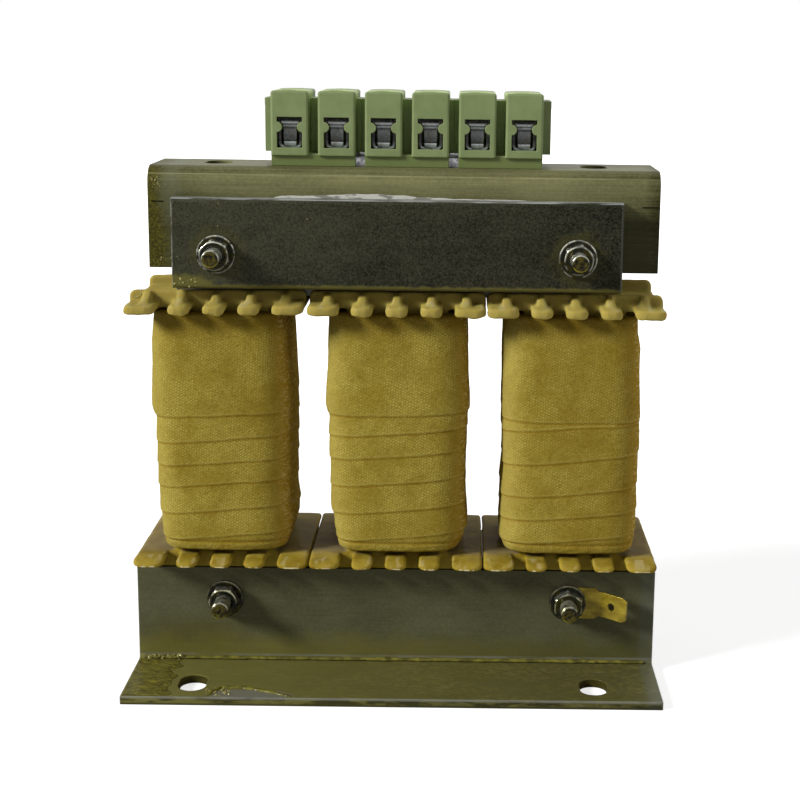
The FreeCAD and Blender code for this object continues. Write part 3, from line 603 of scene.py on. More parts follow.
def bracket_steel():
    """Lower brackets: amber and mottled on the foot, scratched, with a stain, a bare patch, worn rims and a
    painted sheen just above the bend's bead.
    """
    low, high = span("bottom_bracket_front")
    f = plated_sheet("bracket_steel")
    x, y, z = f.axis(0), f.axis(1), f.axis(2)
    marks = ((low.x, 0.7), (low.x + 40, 0.5), (high.x - 30, 0.46), (high.x, 0.56))
    amber = f.mix((118, 113, 54), (78, 75, 34), f.ramp(x, low.x, high.x))
    uneven = 0.42 + f.grain(1.6, (5, 1, 1), detail=4) * 0.5
    foot = f.fall(z - f.grain(8.0) * 9.0, 1.0, 8.0) * uneven
    blots = f.blots(1.1, 0.46, 0.6, (1.6, 1, 1), detail=4, rough=0.65)
    patches = 0.25 + f.blots(9.0, 0.4, 0.6, (3, 1, 1)) * 0.75
    mottled = blots * f.fall(z, sheet + 0.2, sheet + 0.6) * (patches * 0.4)
    stain = f.spot(stain_place, stain_reach, 0.9, 0.7)
    fine = f.blots(0.35, 0.6, 0.72, (26, 1, 1), detail=2) * f.blots(5.0, 0.46, 0.6, (3, 1, 1))
    speck = f.blots(0.5, 0.66, 0.76, detail=2)
    scratched = (fine + speck) * (0.34 - f.ramp(z, sheet + 0.2, sheet + 2) * 0.28)
    # Painted sheen just above the bend's bead
    sheen = f.between(z, sheet + 0.9, sheet + 1.6, 0.25) * f.blots(2.0, 0.3, 0.6, (8, 1, 1))
    blot = f.blots(2.2, 0.46, 0.6, (4, 1, 1), detail=4)
    edge = f.fall(y, low.y + 0.2, low.y + 0.4) * blot.at_least(f.fall(z, 0.3, 1.0))
    across = f.between(abs(x), slot_x - slot_half_x, slot_x + slot_half_x, 0.05)
    along = f.between(abs(y), slot_y - slot_half_y, slot_y + slot_half_y, 0.05)
    slot_walls = across * along * f.fall(f.facing(2), 0.3, 0.6)
    dregs = f.mix((26, 24, 8), (74, 66, 22), f.grain(0.9))
    front_rim = f.fall(y, low.y + 0.25, low.y + 0.5) * f.ramp(z, 1.7, 2.1)
    rims = front_rim.at_least(f.ramp(abs(x), high.x - 0.35, high.x - 0.2))
    wear_and_highlight = rims * f.blots(3.0, 0.25, 0.5, (4, 1, 1))
    tints = ((amber, foot), ((122, 115, 58), mottled),
             ((92, 95, 84), f.ramp(x, high.x - 5, high.x - 3) * 0.4),
             ((84, 80, 30), stain * 0.5), ((150, 148, 112), scratched),
             ((126, 128, 116), sheen * 0.55),
             ((112, 112, 104), f.spot(bare_patch, bare_reach, 0.25) * 0.75),
             ((60, 46, 10), f.spot(glue_place, glue_reach, 0.6) * 0.5), ((30, 30, 17), edge * 0.7),
             (dregs, slot_walls * 0.9), ((128, 128, 116), wear_and_highlight * 0.65))
    return sheet_colour(f, (50, 50, 30), (104, 103, 76), marks, tints,
                        dust_size=0.9, dust_share=0.6, roll_share=0.25)


def polished_zinc():
    """Zinc of bolts, nuts and washers: dark where varnish lies, amber below, lighter on top as bare zinc with
    a painted highlight, and bright along worn edges with painted highlights that are strongest on upward
    faces and on the upper row.
    """
    f = Finish("zinc", Metallic=0.75, Specular_IOR_Level=0.1, Coat_Weight=0.12, Coat_Roughness=0.05)
    upright = f.facing(2)
    below = f.fall(upright, -0.9, -0.1)
    upper_row = f.ramp(f.axis(2), *row_split_z)
    stain = f.blots(2.0, 0.42, 0.6).at_least(below)
    f.colour = f.mix((30, 32, 26), (56, 50, 8), stain * 0.85)
    # Upward faces lighter: bare zinc where varnish drained, and painted highlight
    above = f.ramp(upright, 0.2, 0.85) * f.blots(1.2, 0.35, 0.6)
    f.lay((190, 192, 186), above * 0.5)
    # Painted light: edge highlights brighter on upward faces and on the upper row
    lit = (0.25 + f.ramp(upright, -0.5, 0.3) * 0.75) * (0.8 + upper_row * 0.2)
    lower_washer = (1.0 - upper_row) * f.ramp(f.axis(1), *lower_washer_y)
    wear_and_highlight = f.attribute("wear_and_highlight") * (lit * f.blots(2.2, 0.36, 0.6)) * (1.0 - lower_washer * 0.6)
    # Painted reflection: the lower row's highlights tinted amber
    bright = f.mix((178, 176, 142), (196, 197, 180), upper_row)
    bright = f.mix(bright, (122, 106, 34), below * 0.8)
    f.lay(bright, wear_and_highlight)
    return f.close(0.16 + f.grain(0.8) * 0.16, f.bump(f.grain(0.9), 0.02))


def clamp_zinc(name, bands):
    """Metal behind the windows, lighter and darker by bands of painted highlight and painted shade, up to the
    painted shade under the window's head.
    """
    f = Finish(name, Metallic=0.6, Roughness=0.3, Coat_Weight=0.2, Coat_Roughness=0.1)
    shine = fading(f, bands, 2) + (f.grain(0.7) - 0.5) * 0.25
    f.colour = f.mix((12, 14, 10), (206, 214, 212), shine)
    f.lay((84, 70, 40), f.blots(1.3, 0.5, 0.65, detail=2) * 0.4)
    return f.close(None, f.bump(f.grain(0.5, (3, 1, 1)), 0.03))


def rail_zinc():
    """Plain zinc strip under the terminals."""
    f = Finish("rail_zinc", Metallic=0.9, Roughness=0.25)
    f.colour = f.mix((112, 112, 114), (172, 172, 176), f.blots(1.4, 0.35, 0.65))
    return f.close(None, f.bump(f.grain(0.6), 0.03))


def brass():
    """Brass tab with varnish gathered in patches and specks."""
    f = Finish("tab_brass", Metallic=0.6, Specular_IOR_Level=0.2, Coat_Weight=0.3, Coat_Roughness=0.12)
    f.colour = f.mix((116, 99, 20), (164, 145, 46), f.blots(2.6, 0.3, 0.7, (2, 1, 1), detail=4))
    f.lay((92, 80, 14), f.blots(0.6, 0.55, 0.7, detail=2) * 0.4)
    return f.close(0.28 + f.grain(0.5) * 0.2, f.bump(f.grain(0.7, (6, 1, 1)), 0.05))


def green_plastic():
    """Terminal housings: painted light inside between the towers, painted shade on the skirt below the rail's
    top, with dust.
    """
    f = Finish("green_plastic", Roughness=0.5, Specular_IOR_Level=0.3)
    low, high = span("terminal_rail")
    f.colour = f.mix((112, 125, 80), (121, 134, 89), f.blots(5.0, 0.3, 0.7, detail=4))
    # Painted light inside the housings between the towers
    inner = f.between(f.axis(1), *housing_inside_y, 0.4) * f.between(f.axis(0), low.x, high.x, 0.4)
    f.lay((160, 180, 110), inner * 0.85)
    # Painted shade on the skirts under the towers
    f.lay((90, 101, 48), f.fall(f.axis(2), high.z + 0.1, high.z + 0.5) * 0.75)
    f.lay((150, 158, 118), f.blots(0.4, 0.62, 0.8) * 0.3)
    return f.close(None, f.bump(f.grain(0.35, detail=2), 0.02))


def core_steel():
    """Stacked sheets: their edges take rust and varnish a little differently from one to the next."""
    f = Finish("core_steel", Metallic=0.5, Coat_Weight=0.3, Coat_Roughness=0.3)
    cloud = f.blots(6.0, 0.3, 0.7, detail=4)
    f.colour = f.mix((58, 60, 56), (92, 94, 90), f.grain(0.5, (30, 1, 30), detail=2))
    f.lay((92, 76, 30), cloud * 0.5)
    return f.close(0.4 + cloud * 0.2, f.bump(f.grain(0.4), 0.03))


def gap_sheet_finish():
    f = Finish("gap_sheet", Roughness=0.5)
    f.colour = f.mix((150, 132, 84), (176, 160, 108), f.grain(1.2, (8, 8, 1)))
    return f.close(None, f.bump(f.grain(0.5), 0.05))


def label_finish():
    f = Finish("label", Coat_Weight=0.4, Coat_Roughness=0.15, Roughness=0.5)
    f.colour = f.mix((172, 172, 162), (66, 66, 50), f.blots(1.6, 0.5, 0.58, (4, 1, 1)) * 0.75)
    return f.close(None, f.bump(f.grain(1.5), 0.1))


def register(piece, slot, *nodes):
    """The piece rides on the part and stands for the CAD nodes given. The slot is not used."""
    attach(piece, "root")
    if nodes:
        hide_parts(*nodes)


def placed(name, data):
    """New object in the scene."""
    made = bpy.data.objects.new(name, data)
    scene.collection.objects.link(made)
    return made


def finished(mesh, finish, sharp_angle):
    """The mesh with its finish, smooth apart from edges sharper than an angle."""
    mesh.materials.clear()
    mesh.materials.append(finish)
    mesh.shade_smooth()
    mesh.set_sharp_from_angle(angle=math.radians(sharp_angle))
    return mesh


def new_piece(name, verts, faces, finish, sharp_angle=40.0):
    """Object of a mesh whose points are in millimetres."""
    mesh = bpy.data.meshes.new(name)
    mesh.from_pydata([Vector(v) * MM for v in verts], [], faces)
    return placed(name, finished(mesh, finish, sharp_angle))


def dressed(name, shape, finish, sharp_angle, slot, *nodes):
    """Registered piece of a shape, which is a list of points and one of faces."""
    piece = new_piece(name, *shape, finishes[finish], sharp_angle)
    register(piece, slot, *nodes)
    return piece


def mark_points(piece, name, values):
    """Gives each point of a piece a number for its finish."""
    attribute = piece.data.attributes.new(name, "FLOAT", "POINT")
    attribute.data.foreach_set("value", values)


def skin(rings, looped=False, capped=False):
    """Points and faces between rings of equal length; looped joins the last ring to the first."""
    count = len(rings[0])
    verts = [point for ring in rings for point in ring]
    faces = []
    for i in range(len(rings) if looped else len(rings) - 1):
        a = i * count
        b = (i + 1) % len(rings) * count
        for j in range(count):
            k = (j + 1) % count
            faces.append((a + j, a + k, b + k, b + j))
    if capped:
        faces.append(tuple(reversed(range(count))))
        faces.append(tuple(range(len(verts) - count, len(verts))))
    return verts, faces


def joined(parts):
    """One list of points and faces from several."""
    verts = []
    faces = []
    for more_verts, more_faces, *_ in parts:
        start = len(verts)
        verts += more_verts
        faces += [tuple(start + i for i in face) for face in more_faces]
    return verts, faces


def opened(mesh):
    """Working copy of a mesh with its double points merged."""
    work = bmesh.new()
    work.from_mesh(mesh)
    bmesh.ops.remove_doubles(work, verts=work.verts, dist=same_point * MM)
    return work


def closed(work, name):
    """Mesh of a working copy, which is given up."""
    mesh = bpy.data.meshes.new(name)
    work.to_mesh(mesh)
    work.free()
    return mesh


def softened(node, finish, slot, width, segments=2, sharp=32.0):
    """Piece with a CAD node's shape and rounded edges, which stands for the node."""
    work = opened(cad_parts[node].data)
    bmesh.ops.dissolve_limit(work, angle_limit=math.radians(0.6), verts=work.verts, edges=work.edges)
    edges = [e for e in work.edges if e.is_manifold and e.calc_face_angle() > math.radians(sharp)]
    bmesh.ops.bevel(work, geom=edges, offset=width * MM, segments=segments, profile=0.5,
                    affect="EDGES", offset_type="OFFSET", clamp_overlap=False, loop_slide=True)
    bmesh.ops.remove_doubles(work, verts=work.verts, dist=same_point * MM)
    piece = placed(node + "_look", finished(closed(work, node + "_look"), finishes[finish], 38))
    piece.modifiers.new("weighted", "WEIGHTED_NORMAL").keep_sharp = True
    register(piece, slot, node)


def slice_between(mesh, low, high):
    """Closed part of a mesh between two heights."""
    work = opened(mesh)
    for height, outward in ((low, -1), (high, 1)):
        geometry = list(work.verts) + list(work.edges) + list(work.faces)
        made = bmesh.ops.bisect_plane(work, geom=geometry, plane_co=(0, 0, height * MM),
                                      plane_no=(0, 0, outward), clear_outer=True)
        rim = [item for item in made["geom_cut"] if isinstance(item, bmesh.types.BMEdge)]
        bmesh.ops.triangle_fill(work, use_beauty=True, edges=rim)
    bmesh.ops.recalc_face_normals(work, faces=work.faces)
    return closed(work, "slice")


def melted(mesh):
    """Copy of a closed mesh as if under a thick coat: remeshed finely, smoothed and thinned out again."""
    carrier = placed("melting", mesh)
    remesh = carrier.modifiers.new("remesh", "REMESH")
    remesh.mode = "VOXEL"
    remesh.voxel_size = melt_voxel * MM
    smooth = carrier.modifiers.new("smooth", "SMOOTH")
    smooth.factor = 0.5
    smooth.iterations = melt_passes
    swell = carrier.modifiers.new("swell", "DISPLACE")
    swell.mid_level = 0.0
    swell.strength = melt_coat * MM
    thin = carrier.modifiers.new("thin", "DECIMATE")
    thin.ratio = 0.5
    bpy.context.view_layer.update()
    solid = carrier.evaluated_get(bpy.context.evaluated_depsgraph_get())
    made = bpy.data.meshes.new_from_object(solid)
    bpy.data.objects.remove(carrier)
    return made


def mesh_lists(mesh):
    """Points in millimetres and faces of a mesh."""
    verts = [vertex.co / MM for vertex in mesh.vertices]
    faces = [tuple(polygon.vertices) for polygon in mesh.polygons]
    return verts, faces


def dipped_bobbin(side, seed):
    """Bobbin under a thick coat: toothed flanges with rounded, sagging lips, and its plain tube between."""
    node = "bobbin_" + side
    low, high = span(node)
    centre = (low + high) / 2
    half_y = (high.y - low.y) / 2
    inner = flange_height - tube_overlap
    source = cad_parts[node].data
    lower = mesh_lists(melted(slice_between(source, low.z - 1, low.z + flange_height)))
    upper = mesh_lists(melted(slice_between(source, high.z - flange_height, high.z + 1)))
    tube = mesh_lists(slice_between(source, low.z + inner, high.z - inner))
    ends = ((lower[0], low.z + lower_plate, lip_sag[0], lip_slope, 0.0),
            (upper[0], high.z - upper_plate, lip_sag[1], 0.0, lip_spread))
    for verts, plate_top, sag, slope, spread in ends:
        for v in verts:
            tip = limited((abs(v.y) - half_y + tip_length) / tip_length)
            nearest = min(tooth_places, key=lambda place: abs(centre.x + place - v.x))
            v.x += (centre.x + nearest - v.x) * tip_narrowing * (1 - math.sqrt(1 - tip ** 2))
            near_tip = limited((abs(v.y) - half_y + lip_reach) / lip_reach) ** 2
            under = limited((plate_top - v.z) / plate_thickness)
            ragged = 1.0 + 0.6 * noise.noise(Vector((v.x / 2.5, v.y / 9, seed)))
            if v.z > plate_top - plate_thickness - 0.6:
                v.z -= sag * near_tip * under * ragged
                v.z -= slope * near_tip * (1 - under)
                v.x += (v.x - centre.x - nearest) * spread * near_tip * under
            v.z += melt_ripple[0] * noise.noise(Vector((v.x / 3.1, v.y / 3.1, v.z / 2.4 + seed)))
            v.x += melt_ripple[1] * noise.noise(Vector((v.x / 2.4 + 9, v.y / 3.1, v.z / 2.0)))
    if side == "left":
        for v in upper[0]:
            v.x += left_flange_shift[0]
            v.z += left_flange_slope * (v.x - centre.x) + left_flange_shift[1]
    shape = joined([lower, upper, tube])
    dressed(node + "_look", shape, "amber", 60, "bobbin_plastic", node)
    random.seed(seed + 40)
    return bead_spots(BVHTree.FromPolygons(*shape), centre.x, low, high)


def bead_spots(tree, centre_x, low, high):
    """Spots for beads on the front of the upper flange and, between the teeth, on top of the lower one."""
    spots = []
    for place in tooth_places:
        x = centre_x + place
        for _ in range(beads_each):
            front = (x - random.uniform(1.2, 2.9), low.y - 5, random.uniform(high.z - 2.4, high.z + 0.8))
            spots += landing(tree, front, (0, 1, 0), random.uniform(0.12, 0.34))
            above = (x + random.uniform(3.4, 5.6), low.y + random.uniform(7.2, 9.0), low.z + 9)
            spots += landing(tree, above, (0, 0, -1), random.uniform(0.14, 0.4))
    return spots


def landing(tree, start, heading, radius):
    """List with a spot for a bead where a line meets a surface, or an empty one."""
    place, normal = tree.ray_cast(Vector(start), Vector(heading))[:2]
    return [] if place is None else [(place, normal, radius)]


def lathe(x, z, rows, looped, across_flats=None, turn=0.0, segments=72):
    """Turned body along Y from rows of radius, y and how bright the edge there is from wear and painted
    highlight;
    across_flats makes it a hexagon."""
    rings = []
    wear_and_highlight = []
    for radius, y, bright in rows:
        wear_and_highlight += [bright] * segments
        ring = []
        for i in range(segments):
            angle = 2 * math.pi * i / segments
            reach = radius
            if across_flats is not None:
                sector = (angle + math.pi / 6) % (math.pi / 3) - math.pi / 6
                reach = min(radius, across_flats / 2 / math.cos(sector))
            heading = angle + math.radians(turn)
            ring.append((x + reach * math.cos(heading), y, z + reach * math.sin(heading)))
        rings.append(ring)
    return *skin(rings, looped=looped, capped=not looped), wear_and_highlight


def fastener(name, node, parts):
    """Piece of lathed parts with their wear and painted highlights."""
    piece = dressed(name, joined(parts), "zinc", 35, "zinc_steel", node)
    mark_points(piece, "wear_and_highlight", [bright for part in parts for bright in part[2]])


def heading_at(degrees):
    angle = math.radians(degrees)
    return Vector((math.cos(angle), math.sin(angle)))


def shares(length, step):
    """Shares of a length at which points about a step apart begin."""
    count = max(2, round(length / step))
    return [i / count for i in range(count)]


def around(half_x, half_y, radius, step):
    """Points on a rounded rectangle with their outward directions and distance run, from the middle of the
    back by the left side and the front to the right, and the length of the whole round."""
    straight_x = half_x - radius
    straight_y = half_y - radius
    quarter = math.pi * radius / 2
    start = Vector((0, half_y))
    rows = []
    run = 0.0
    # Each straight leg by the angle it faces and its length, with the centre of the corner that follows
    for facing, length, corner in ((90, straight_x, (-straight_x, straight_y)),
                                   (180, 2 * straight_y, (-straight_x, -straight_y)),
                                   (270, 2 * straight_x, (straight_x, -straight_y)),
                                   (0, 2 * straight_y, (straight_x, straight_y)), (90, straight_x, None)):
        out = heading_at(facing)
        along = Vector((-out.y, out.x))
        for share in shares(length, step):
            rows.append((start + along * length * share, out, run + length * share))
        run += length
        if corner is not None:
            for share in shares(quarter, step):
                out = heading_at(facing + 90 * share)
                rows.append((Vector(corner) + out * radius, out, run + quarter * share))
            run += quarter
            start = Vector(corner) + heading_at(facing + 90) * radius
    eased = []
    for i, row in enumerate(rows):
        near = [rows[(i + k) % len(rows)] for k in range(-coil_ease, coil_ease + 1)]
        point = sum((other[0] for other in near), Vector((0, 0))) / len(near)
        out = sum((other[1] for other in near), Vector((0, 0))).normalized()
        eased.append((point, out, row[2]))
    return eased, run


def seam_height(seams, turn):
    """Height of the tape's edge at a number of turns from the first seam's middle on the front."""
    last = len(seams) - 1
    if turn <= 0:
        return seams[0] + turn * (seams[1] - seams[0])
    if turn >= last:
        return seams[last] + (turn - last) * (seams[last] - seams[last - 1])
    whole = int(turn)
    return seams[whole] + (turn - whole) * (seams[whole + 1] - seams[whole])


def tape_surface(seams, share, height, seed):
    """Outward step of the tape, the shade painted under and at its edge, and the highlight painted on the
    step as a negative value.
    """
    waver = seam_waver * noise.noise(Vector((share * 14, seed, 0)))
    turn = math.sin(2 * math.pi * share)
    below = None
    above = None
    for k in range(-1, len(seams)):
        tilt = seam_tilt if k < len(seams) - 1 else last_tilt
        edge = seam_height(seams, k + share) + waver + tilt * turn
        if edge <= height:
            below = edge
        elif above is None:
            above = edge
    if below is None:
        return 0.0, 0.0
    band = last_band if above is None else max(1.0, above - below)
    rise = height - below
    step = tape_lap * max(0.0, 1 - rise / band) * min(1.0, rise / step_rise)
    # Negative values are a painted highlight on the step; positive ones are painted shadow under the next
    # edge and painted shade at this edge's foot
    dark = -max(0.0, 1 - abs(rise - gleam_place) / gleam_width)
    if above is not None and above - height < shadow_depth:
        dark = 1 - (above - height) / shadow_depth
    if rise < 0.25:
        dark = max(dark, 0.8 - rise / 0.3)
    return step, dark


def form_at(forms, z):
    """Half widths to the left and the right at one height."""
    z = min(max(z, forms[0][0]), forms[-1][0])
    for (z0, left0, right0), (z1, left1, right1) in zip(forms, forms[1:]):
        if z <= z1:
            t = (z - z0) / (z1 - z0)
            t = t * t * (3 - 2 * t)
            return left0 + (left1 - left0) * t, right0 + (right1 - right0) * t
    return forms[-1][1:]


def coil_heights(low, high):
    """Rows up the coil with how far each is drawn in, rounded at both ends."""
    rows = []
    turns = 6
    for i in range(turns):
        angle = math.pi / 2 * i / turns
        rows.append((low + coil_low_edge * (1 - math.cos(angle)), -coil_low_edge * (1 - math.sin(angle))))
    straight = high - low - coil_low_edge - coil_top_edge
    count = round(straight / row_height)
    for i in range(count + 1):
        rows.append((low + coil_low_edge + straight * i / count, 0.0))
    for i in range(turns - 1, -1, -1):
        angle = math.pi / 2 * i / turns
        rows.append((high - coil_top_edge * (1 - math.cos(angle)), -coil_top_edge * (1 - math.sin(angle))))
    return rows


def coil(side, seams, forms, seed):
    """Taped winding on one leg: a helix of overlapping bands, rolled in at both ends."""
    low, high = span("tape_wrap_" + side)
    centre = (low + high) / 2
    half_x = (high.x - low.x) / 2
    half_y = (high.y - low.y) / 2 - tape_lap / 2
    rows, perimeter = around(half_x, half_y, coil_corner, column_width)
    front_middle = perimeter / 2
    rings = []
    darkness = []
    for z, inset in coil_heights(low.z, high.z + coil_rise):
        left, right = form_at(forms, z)
        taper = max(0.0, 1 - (z - low.z) / coil_low_taper)
        deep = 1 - foot_narrowing * (1 - math.sqrt(1 - taper ** 2))
        ring = []
        for point, out, run in rows:
            share = (run - front_middle) / perimeter
            step, dark = tape_surface(seams, share, z - low.z, seed)
            wide, tall = lump_size
            lump = lump_height * noise.noise(Vector((point.x / wide, point.y / wide + seed, z / tall)))
            wide, tall = dimple_size
            lump += dimple_height * noise.noise(Vector((point.x / wide, point.y / wide, z / tall + seed)))
            wide, tall = crumple_size
            crumple = crumple_height * noise.noise(Vector((run / wide, z / tall, seed)))
            crumple *= max(0.0, 1 - (z - low.z) / crumple_reach)
            fold = -fold_depth * math.exp(-((z - low.z - fold_place - fold_rise * share) / fold_depth) ** 2)
            swell = lump + step + inset + crumple + fold
            spread = (right if point.x > 0 else left) / half_x
            full = swell + coil_bulge * (math.cos(math.pi / 2 * point.x / half_x) - 0.5)
            broad = swell + coil_ease_loss
            x = centre.x + point.x * spread + out.x * broad
            ring.append((x, centre.y + point.y * deep + out.y * full, z))
            # Painted shade in the crease round the foot, else the tape edge's painted shade and highlight
            darkness.append(-fold_dark * fold if fold < -0.1 else dark)
        rings.append(ring)
    closing = []
    for z in (high.z + coil_rise, low.z):
        closing.append([(centre.x + point.x * inner_share[0], centre.y + point.y * inner_share[1], z)
                        for point, *_ in rows])
    darkness += [0.0] * (2 * len(rows))
    shape = skin(rings + closing, looped=True)
    nodes = ("tape_wrap_" + side, "winding_" + side)
    piece = dressed("taped_coil_" + side, shape, "tape", 60, "tape_cloth", *nodes)
    mark_points(piece, "seam", darkness)
    map_weave(piece.data, shape[0], rows, perimeter)


def map_weave(mesh, verts, rows, perimeter):
    """Gives each corner its millimetres along and across the threads."""
    weave = mesh.uv_layers.new(name="weave")
    lean = heading_at(thread_lean)
    columns = len(rows)
    for polygon in mesh.polygons:
        column = polygon.index % columns
        for loop in polygon.loop_indices:
            vertex = mesh.loops[loop].vertex_index
            run = rows[vertex % columns][2]
            if column == columns - 1 and vertex % columns == 0:
                run = perimeter
            height = verts[vertex][2]
            weave.data[loop].uv = (run * lean.x + height * lean.y, height * lean.x - run * lean.y)


def laminations(name, node, outline, bolt_node):
    """Stack of thin sheets that differ a little in size, with an outline in the XZ plane and bolt holes."""
    random.seed(11)
    low, high = span(node)
    holes = [circle(x, middle(bolt_node).z, bolt_hole) for x in bolt_places()]
    count = round((high.y - low.y) / lamination)
    pitch = (high.y - low.y) / count
    centre = Vector((sum(p[0] for p in outline) / len(outline), sum(p[1] for p in outline) / len(outline)))
    parts = []
    for i in range(count):
        shrink = random.uniform(0.0, size_spread)
        y0 = low.y + pitch * i + lamination_gap
        y1 = low.y + pitch * (i + 1) - lamination_gap
        parts.append(sheet_with_holes(outline, holes, centre, shrink, y0, y1))
    dressed(name, joined(parts), "core", 20, "core_steel", node)


def sheet_with_holes(outline, holes, centre, shrink, y0, y1):
    """One sheet of the core: its two faces with the holes left open, and its edges."""
    work = bmesh.new()
    edges = []
    for ring in [outline] + holes:
        corners = []
        for px, pz in ring:
            pull = shrink if ring is outline else 0.0
            dx = px - math.copysign(pull, px - centre.x)
            dz = pz - math.copysign(pull, pz - centre.y)
            corners.append(work.verts.new((dx, y0, dz)))
        for k, corner in enumerate(corners):
            edges.append(work.edges.new((corner, corners[(k + 1) % len(corners)])))
    bmesh.ops.triangle_fill(work, use_beauty=True, edges=edges)
    made = bmesh.ops.extrude_face_region(work, geom=list(work.faces))
    moved = [item for item in made["geom"] if isinstance(item, bmesh.types.BMVert)]
    bmesh.ops.translate(work, verts=moved, vec=(0, y1 - y0, 0))
    bmesh.ops.recalc_face_normals(work, faces=work.faces)
    work.verts.index_update()
    verts = [tuple(v.co) for v in work.verts]
    faces = [tuple(v.index for v in face.verts) for face in work.faces]
    work.free()
    return verts, faces


def circle(x, z, radius, segments=20):
    turns = [2 * math.pi * i / segments for i in range(segments)]
    return [(x + radius * math.cos(turn), z + radius * math.sin(turn)) for turn in turns]


def core():
    """E stack and straight yoke as sheets."""
    low, high = span("core_e_stack")
    leg = bolt_places()[1]
    half = (high.x - low.x) / 2 - leg
    shoulder = span("bobbin_center")[0].z + shoulder_rise
    comb = [(low.x, low.z), (high.x, low.z), (high.x, high.z), (leg - half, high.z), (leg - half, shoulder),
            (half, shoulder), (half, high.z), (-half, high.z), (-half, shoulder), (half - leg, shoulder),
            (half - leg, high.z), (low.x, high.z)]
    laminations("core_sheets_lower", "core_e_stack", comb, "lower_bolts")
    low, high = span("core_yoke")
    yoke = [(low.x, low.z), (high.x, low.z), (high.x, high.z), (low.x, high.z)]
    laminations("core_sheets_upper", "core_yoke", yoke, "upper_bolts")


def thread_ring(x, z, y, radius, depth, pitch, segments):
    """Ring of a helical thread at one place along the bolt."""
    ring = []
    for i in range(segments):
        angle = 2 * math.pi * i / segments
        phase = (y / pitch + i / segments) % 1.0
        reach = radius - depth * abs(2 * phase - 1)
        ring.append((x + reach * math.cos(angle), y, z + reach * math.sin(angle)))
    return ring


def bolt_places():
    """X of the left and the right bolts."""
    reach = middle("bobbin_right").x
    return -reach, reach


def bolts(node):
    """Two bolts along Y: hexagon head at the rear, plain shank, threaded end with a worn tip."""
    low, high = span(node)
    z = middle(node).z
    inner = nut_flats / 2
    outer = nut_flats / math.sqrt(3)
    neck = high.y - head_height
    parts = []
    for x in bolt_places():
        rows = [(0.02, high.y, 0), (inner * 0.72, high.y, 0), (inner * 0.97, high.y - 0.02, 0.8),
                (outer, high.y - 0.42, 0.3), (outer, neck + 0.15, 0), (inner * 0.99, neck, 0),
                (bolt_radius, neck, 0), (bolt_radius, low.y + thread_length, 0)]
        parts.append(lathe(x, z, rows, False, nut_flats))
        rings = []
        steps = round(thread_length / bolt_pitch * 10)
        for i in range(steps + 1):
            y = low.y + thread_start + (thread_length - thread_start) * i / steps
            shrink = first_thread_loss * max(0.0, 1 - i / 5)
            rings.append(thread_ring(x, z, y, bolt_radius - shrink, thread_depth, bolt_pitch, 40))
        tip = [(px, low.y, pz) for px, pz in circle(x, z, bolt_radius - tip_loss, 40)]
        verts, faces = skin([tip] + rings, capped=True)
        parts.append((verts, faces, [thread_wear_and_highlight] * len(verts)))
    fastener(node + "_look", node, parts)


def fastener_places():
    """Each clamping point: x, z, and the y of its washer's seat in front."""
    left, right = bolt_places()
    bar_face = span("clamp_bar_front")[0].y
    bracket_face = span("core_e_stack")[0].y - sheet
    upper = middle("upper_bolts").z
    lower = middle("lower_bolts").z
    return [(left, upper, bar_face), (right, upper, bar_face), (left, lower, bracket_face),
            (right, lower, bracket_face - tab_thickness)]


def washer_rows(y0, y1):
    """Section of a washer with softened, bright edges."""
    edge = 0.22
    inner = washer_bore / 2
    outer = washer_width / 2
    return [(inner, y0 + edge, 0), (inner + edge, y0, 0), (outer - 0.55, y0, 0),
            (outer - edge, y0 + 0.02, 1.0), (outer - edge * 0.3, y0 + edge * 0.4, 1.0),
            (outer, y0 + edge * 1.6, 0.2), (outer, y1 - edge, 0), (outer - edge, y1, 0),
            (inner + edge, y1, 0), (inner, y1 - edge, 0)]


def nut_rows(y0, y1):
    """Section of a nut: chamfered bore, bright ring round its front face, corners cut by the flats."""
    inner = nut_flats / 2
    corner = nut_flats / math.sqrt(3)
    bore = bolt_radius - 0.15
    return [(bore, y0 + 0.5, 0), (bore + 0.35, y0 + 0.02, 0.2), (bore + 0.6, y0, 0), (inner * 0.9, y0, 0),
            (inner * 0.97, y0 + 0.03, 1.0), (inner * 1.03, y0 + 0.16, 0.9), (corner, y0 + 0.6, 0.1),
            (corner, y1 - 0.4, 0), (inner, y1, 0), (bore + 0.4, y1, 0), (bore, y1 - 0.4, 0)]


def nuts_and_washers():
    nut_parts = []
    front_parts = []
    rear_parts = []
    rear_low, rear_high = span("rear_washers")
    for (x, z, seat), turn in zip(fastener_places(), nut_turns):
        face = seat - washer_thickness
        front_parts.append(lathe(x, z, washer_rows(face, seat), True))
        nut_parts.append(lathe(x, z, nut_rows(face - nut_height, face), True, nut_flats, turn))
        rear = rear_high.y if z > cad_middle_z else rear_low.y + washer_thickness
        rear_parts.append(lathe(x, z, washer_rows(rear - washer_thickness, rear), True))
    fastener("nuts_look", "clamp_nuts", nut_parts)
    fastener("washers_front_look", "front_washers", front_parts)
    fastener("washers_rear_look", "rear_washers", rear_parts)


def beads(name, spots):
    """Small domes of varnish: each spot is a place, an outward direction and a radius."""
    parts = []
    for place, normal, radius in spots:
        tilt = normal.to_track_quat("Z", "Y").to_matrix()
        rings = []
        for i in range(bead_rings):
            lift = math.pi / 2 * i / bead_rings
            height = radius * bead_flatness * math.sin(lift) - film_sink
            rings.append([place + tilt @ Vector((x, y, height))
                          for x, y in circle(0.0, 0.0, radius * math.cos(lift), 12)])
        parts.append(skin(rings, capped=True))
    dressed(name, joined(parts), "bubble", 120, "bobbin_plastic")


def scattered(seed, count, low, high, normal, small, large):
    """Spots spread over a rectangle whose corners are low and high."""
    random.seed(seed)
    spots = []
    for _ in range(count):
        place = Vector([random.uniform(a, b) for a, b in zip(low, high)])
        spots.append((place, normal, small + (large - small) * random.random() ** 2))
    return spots


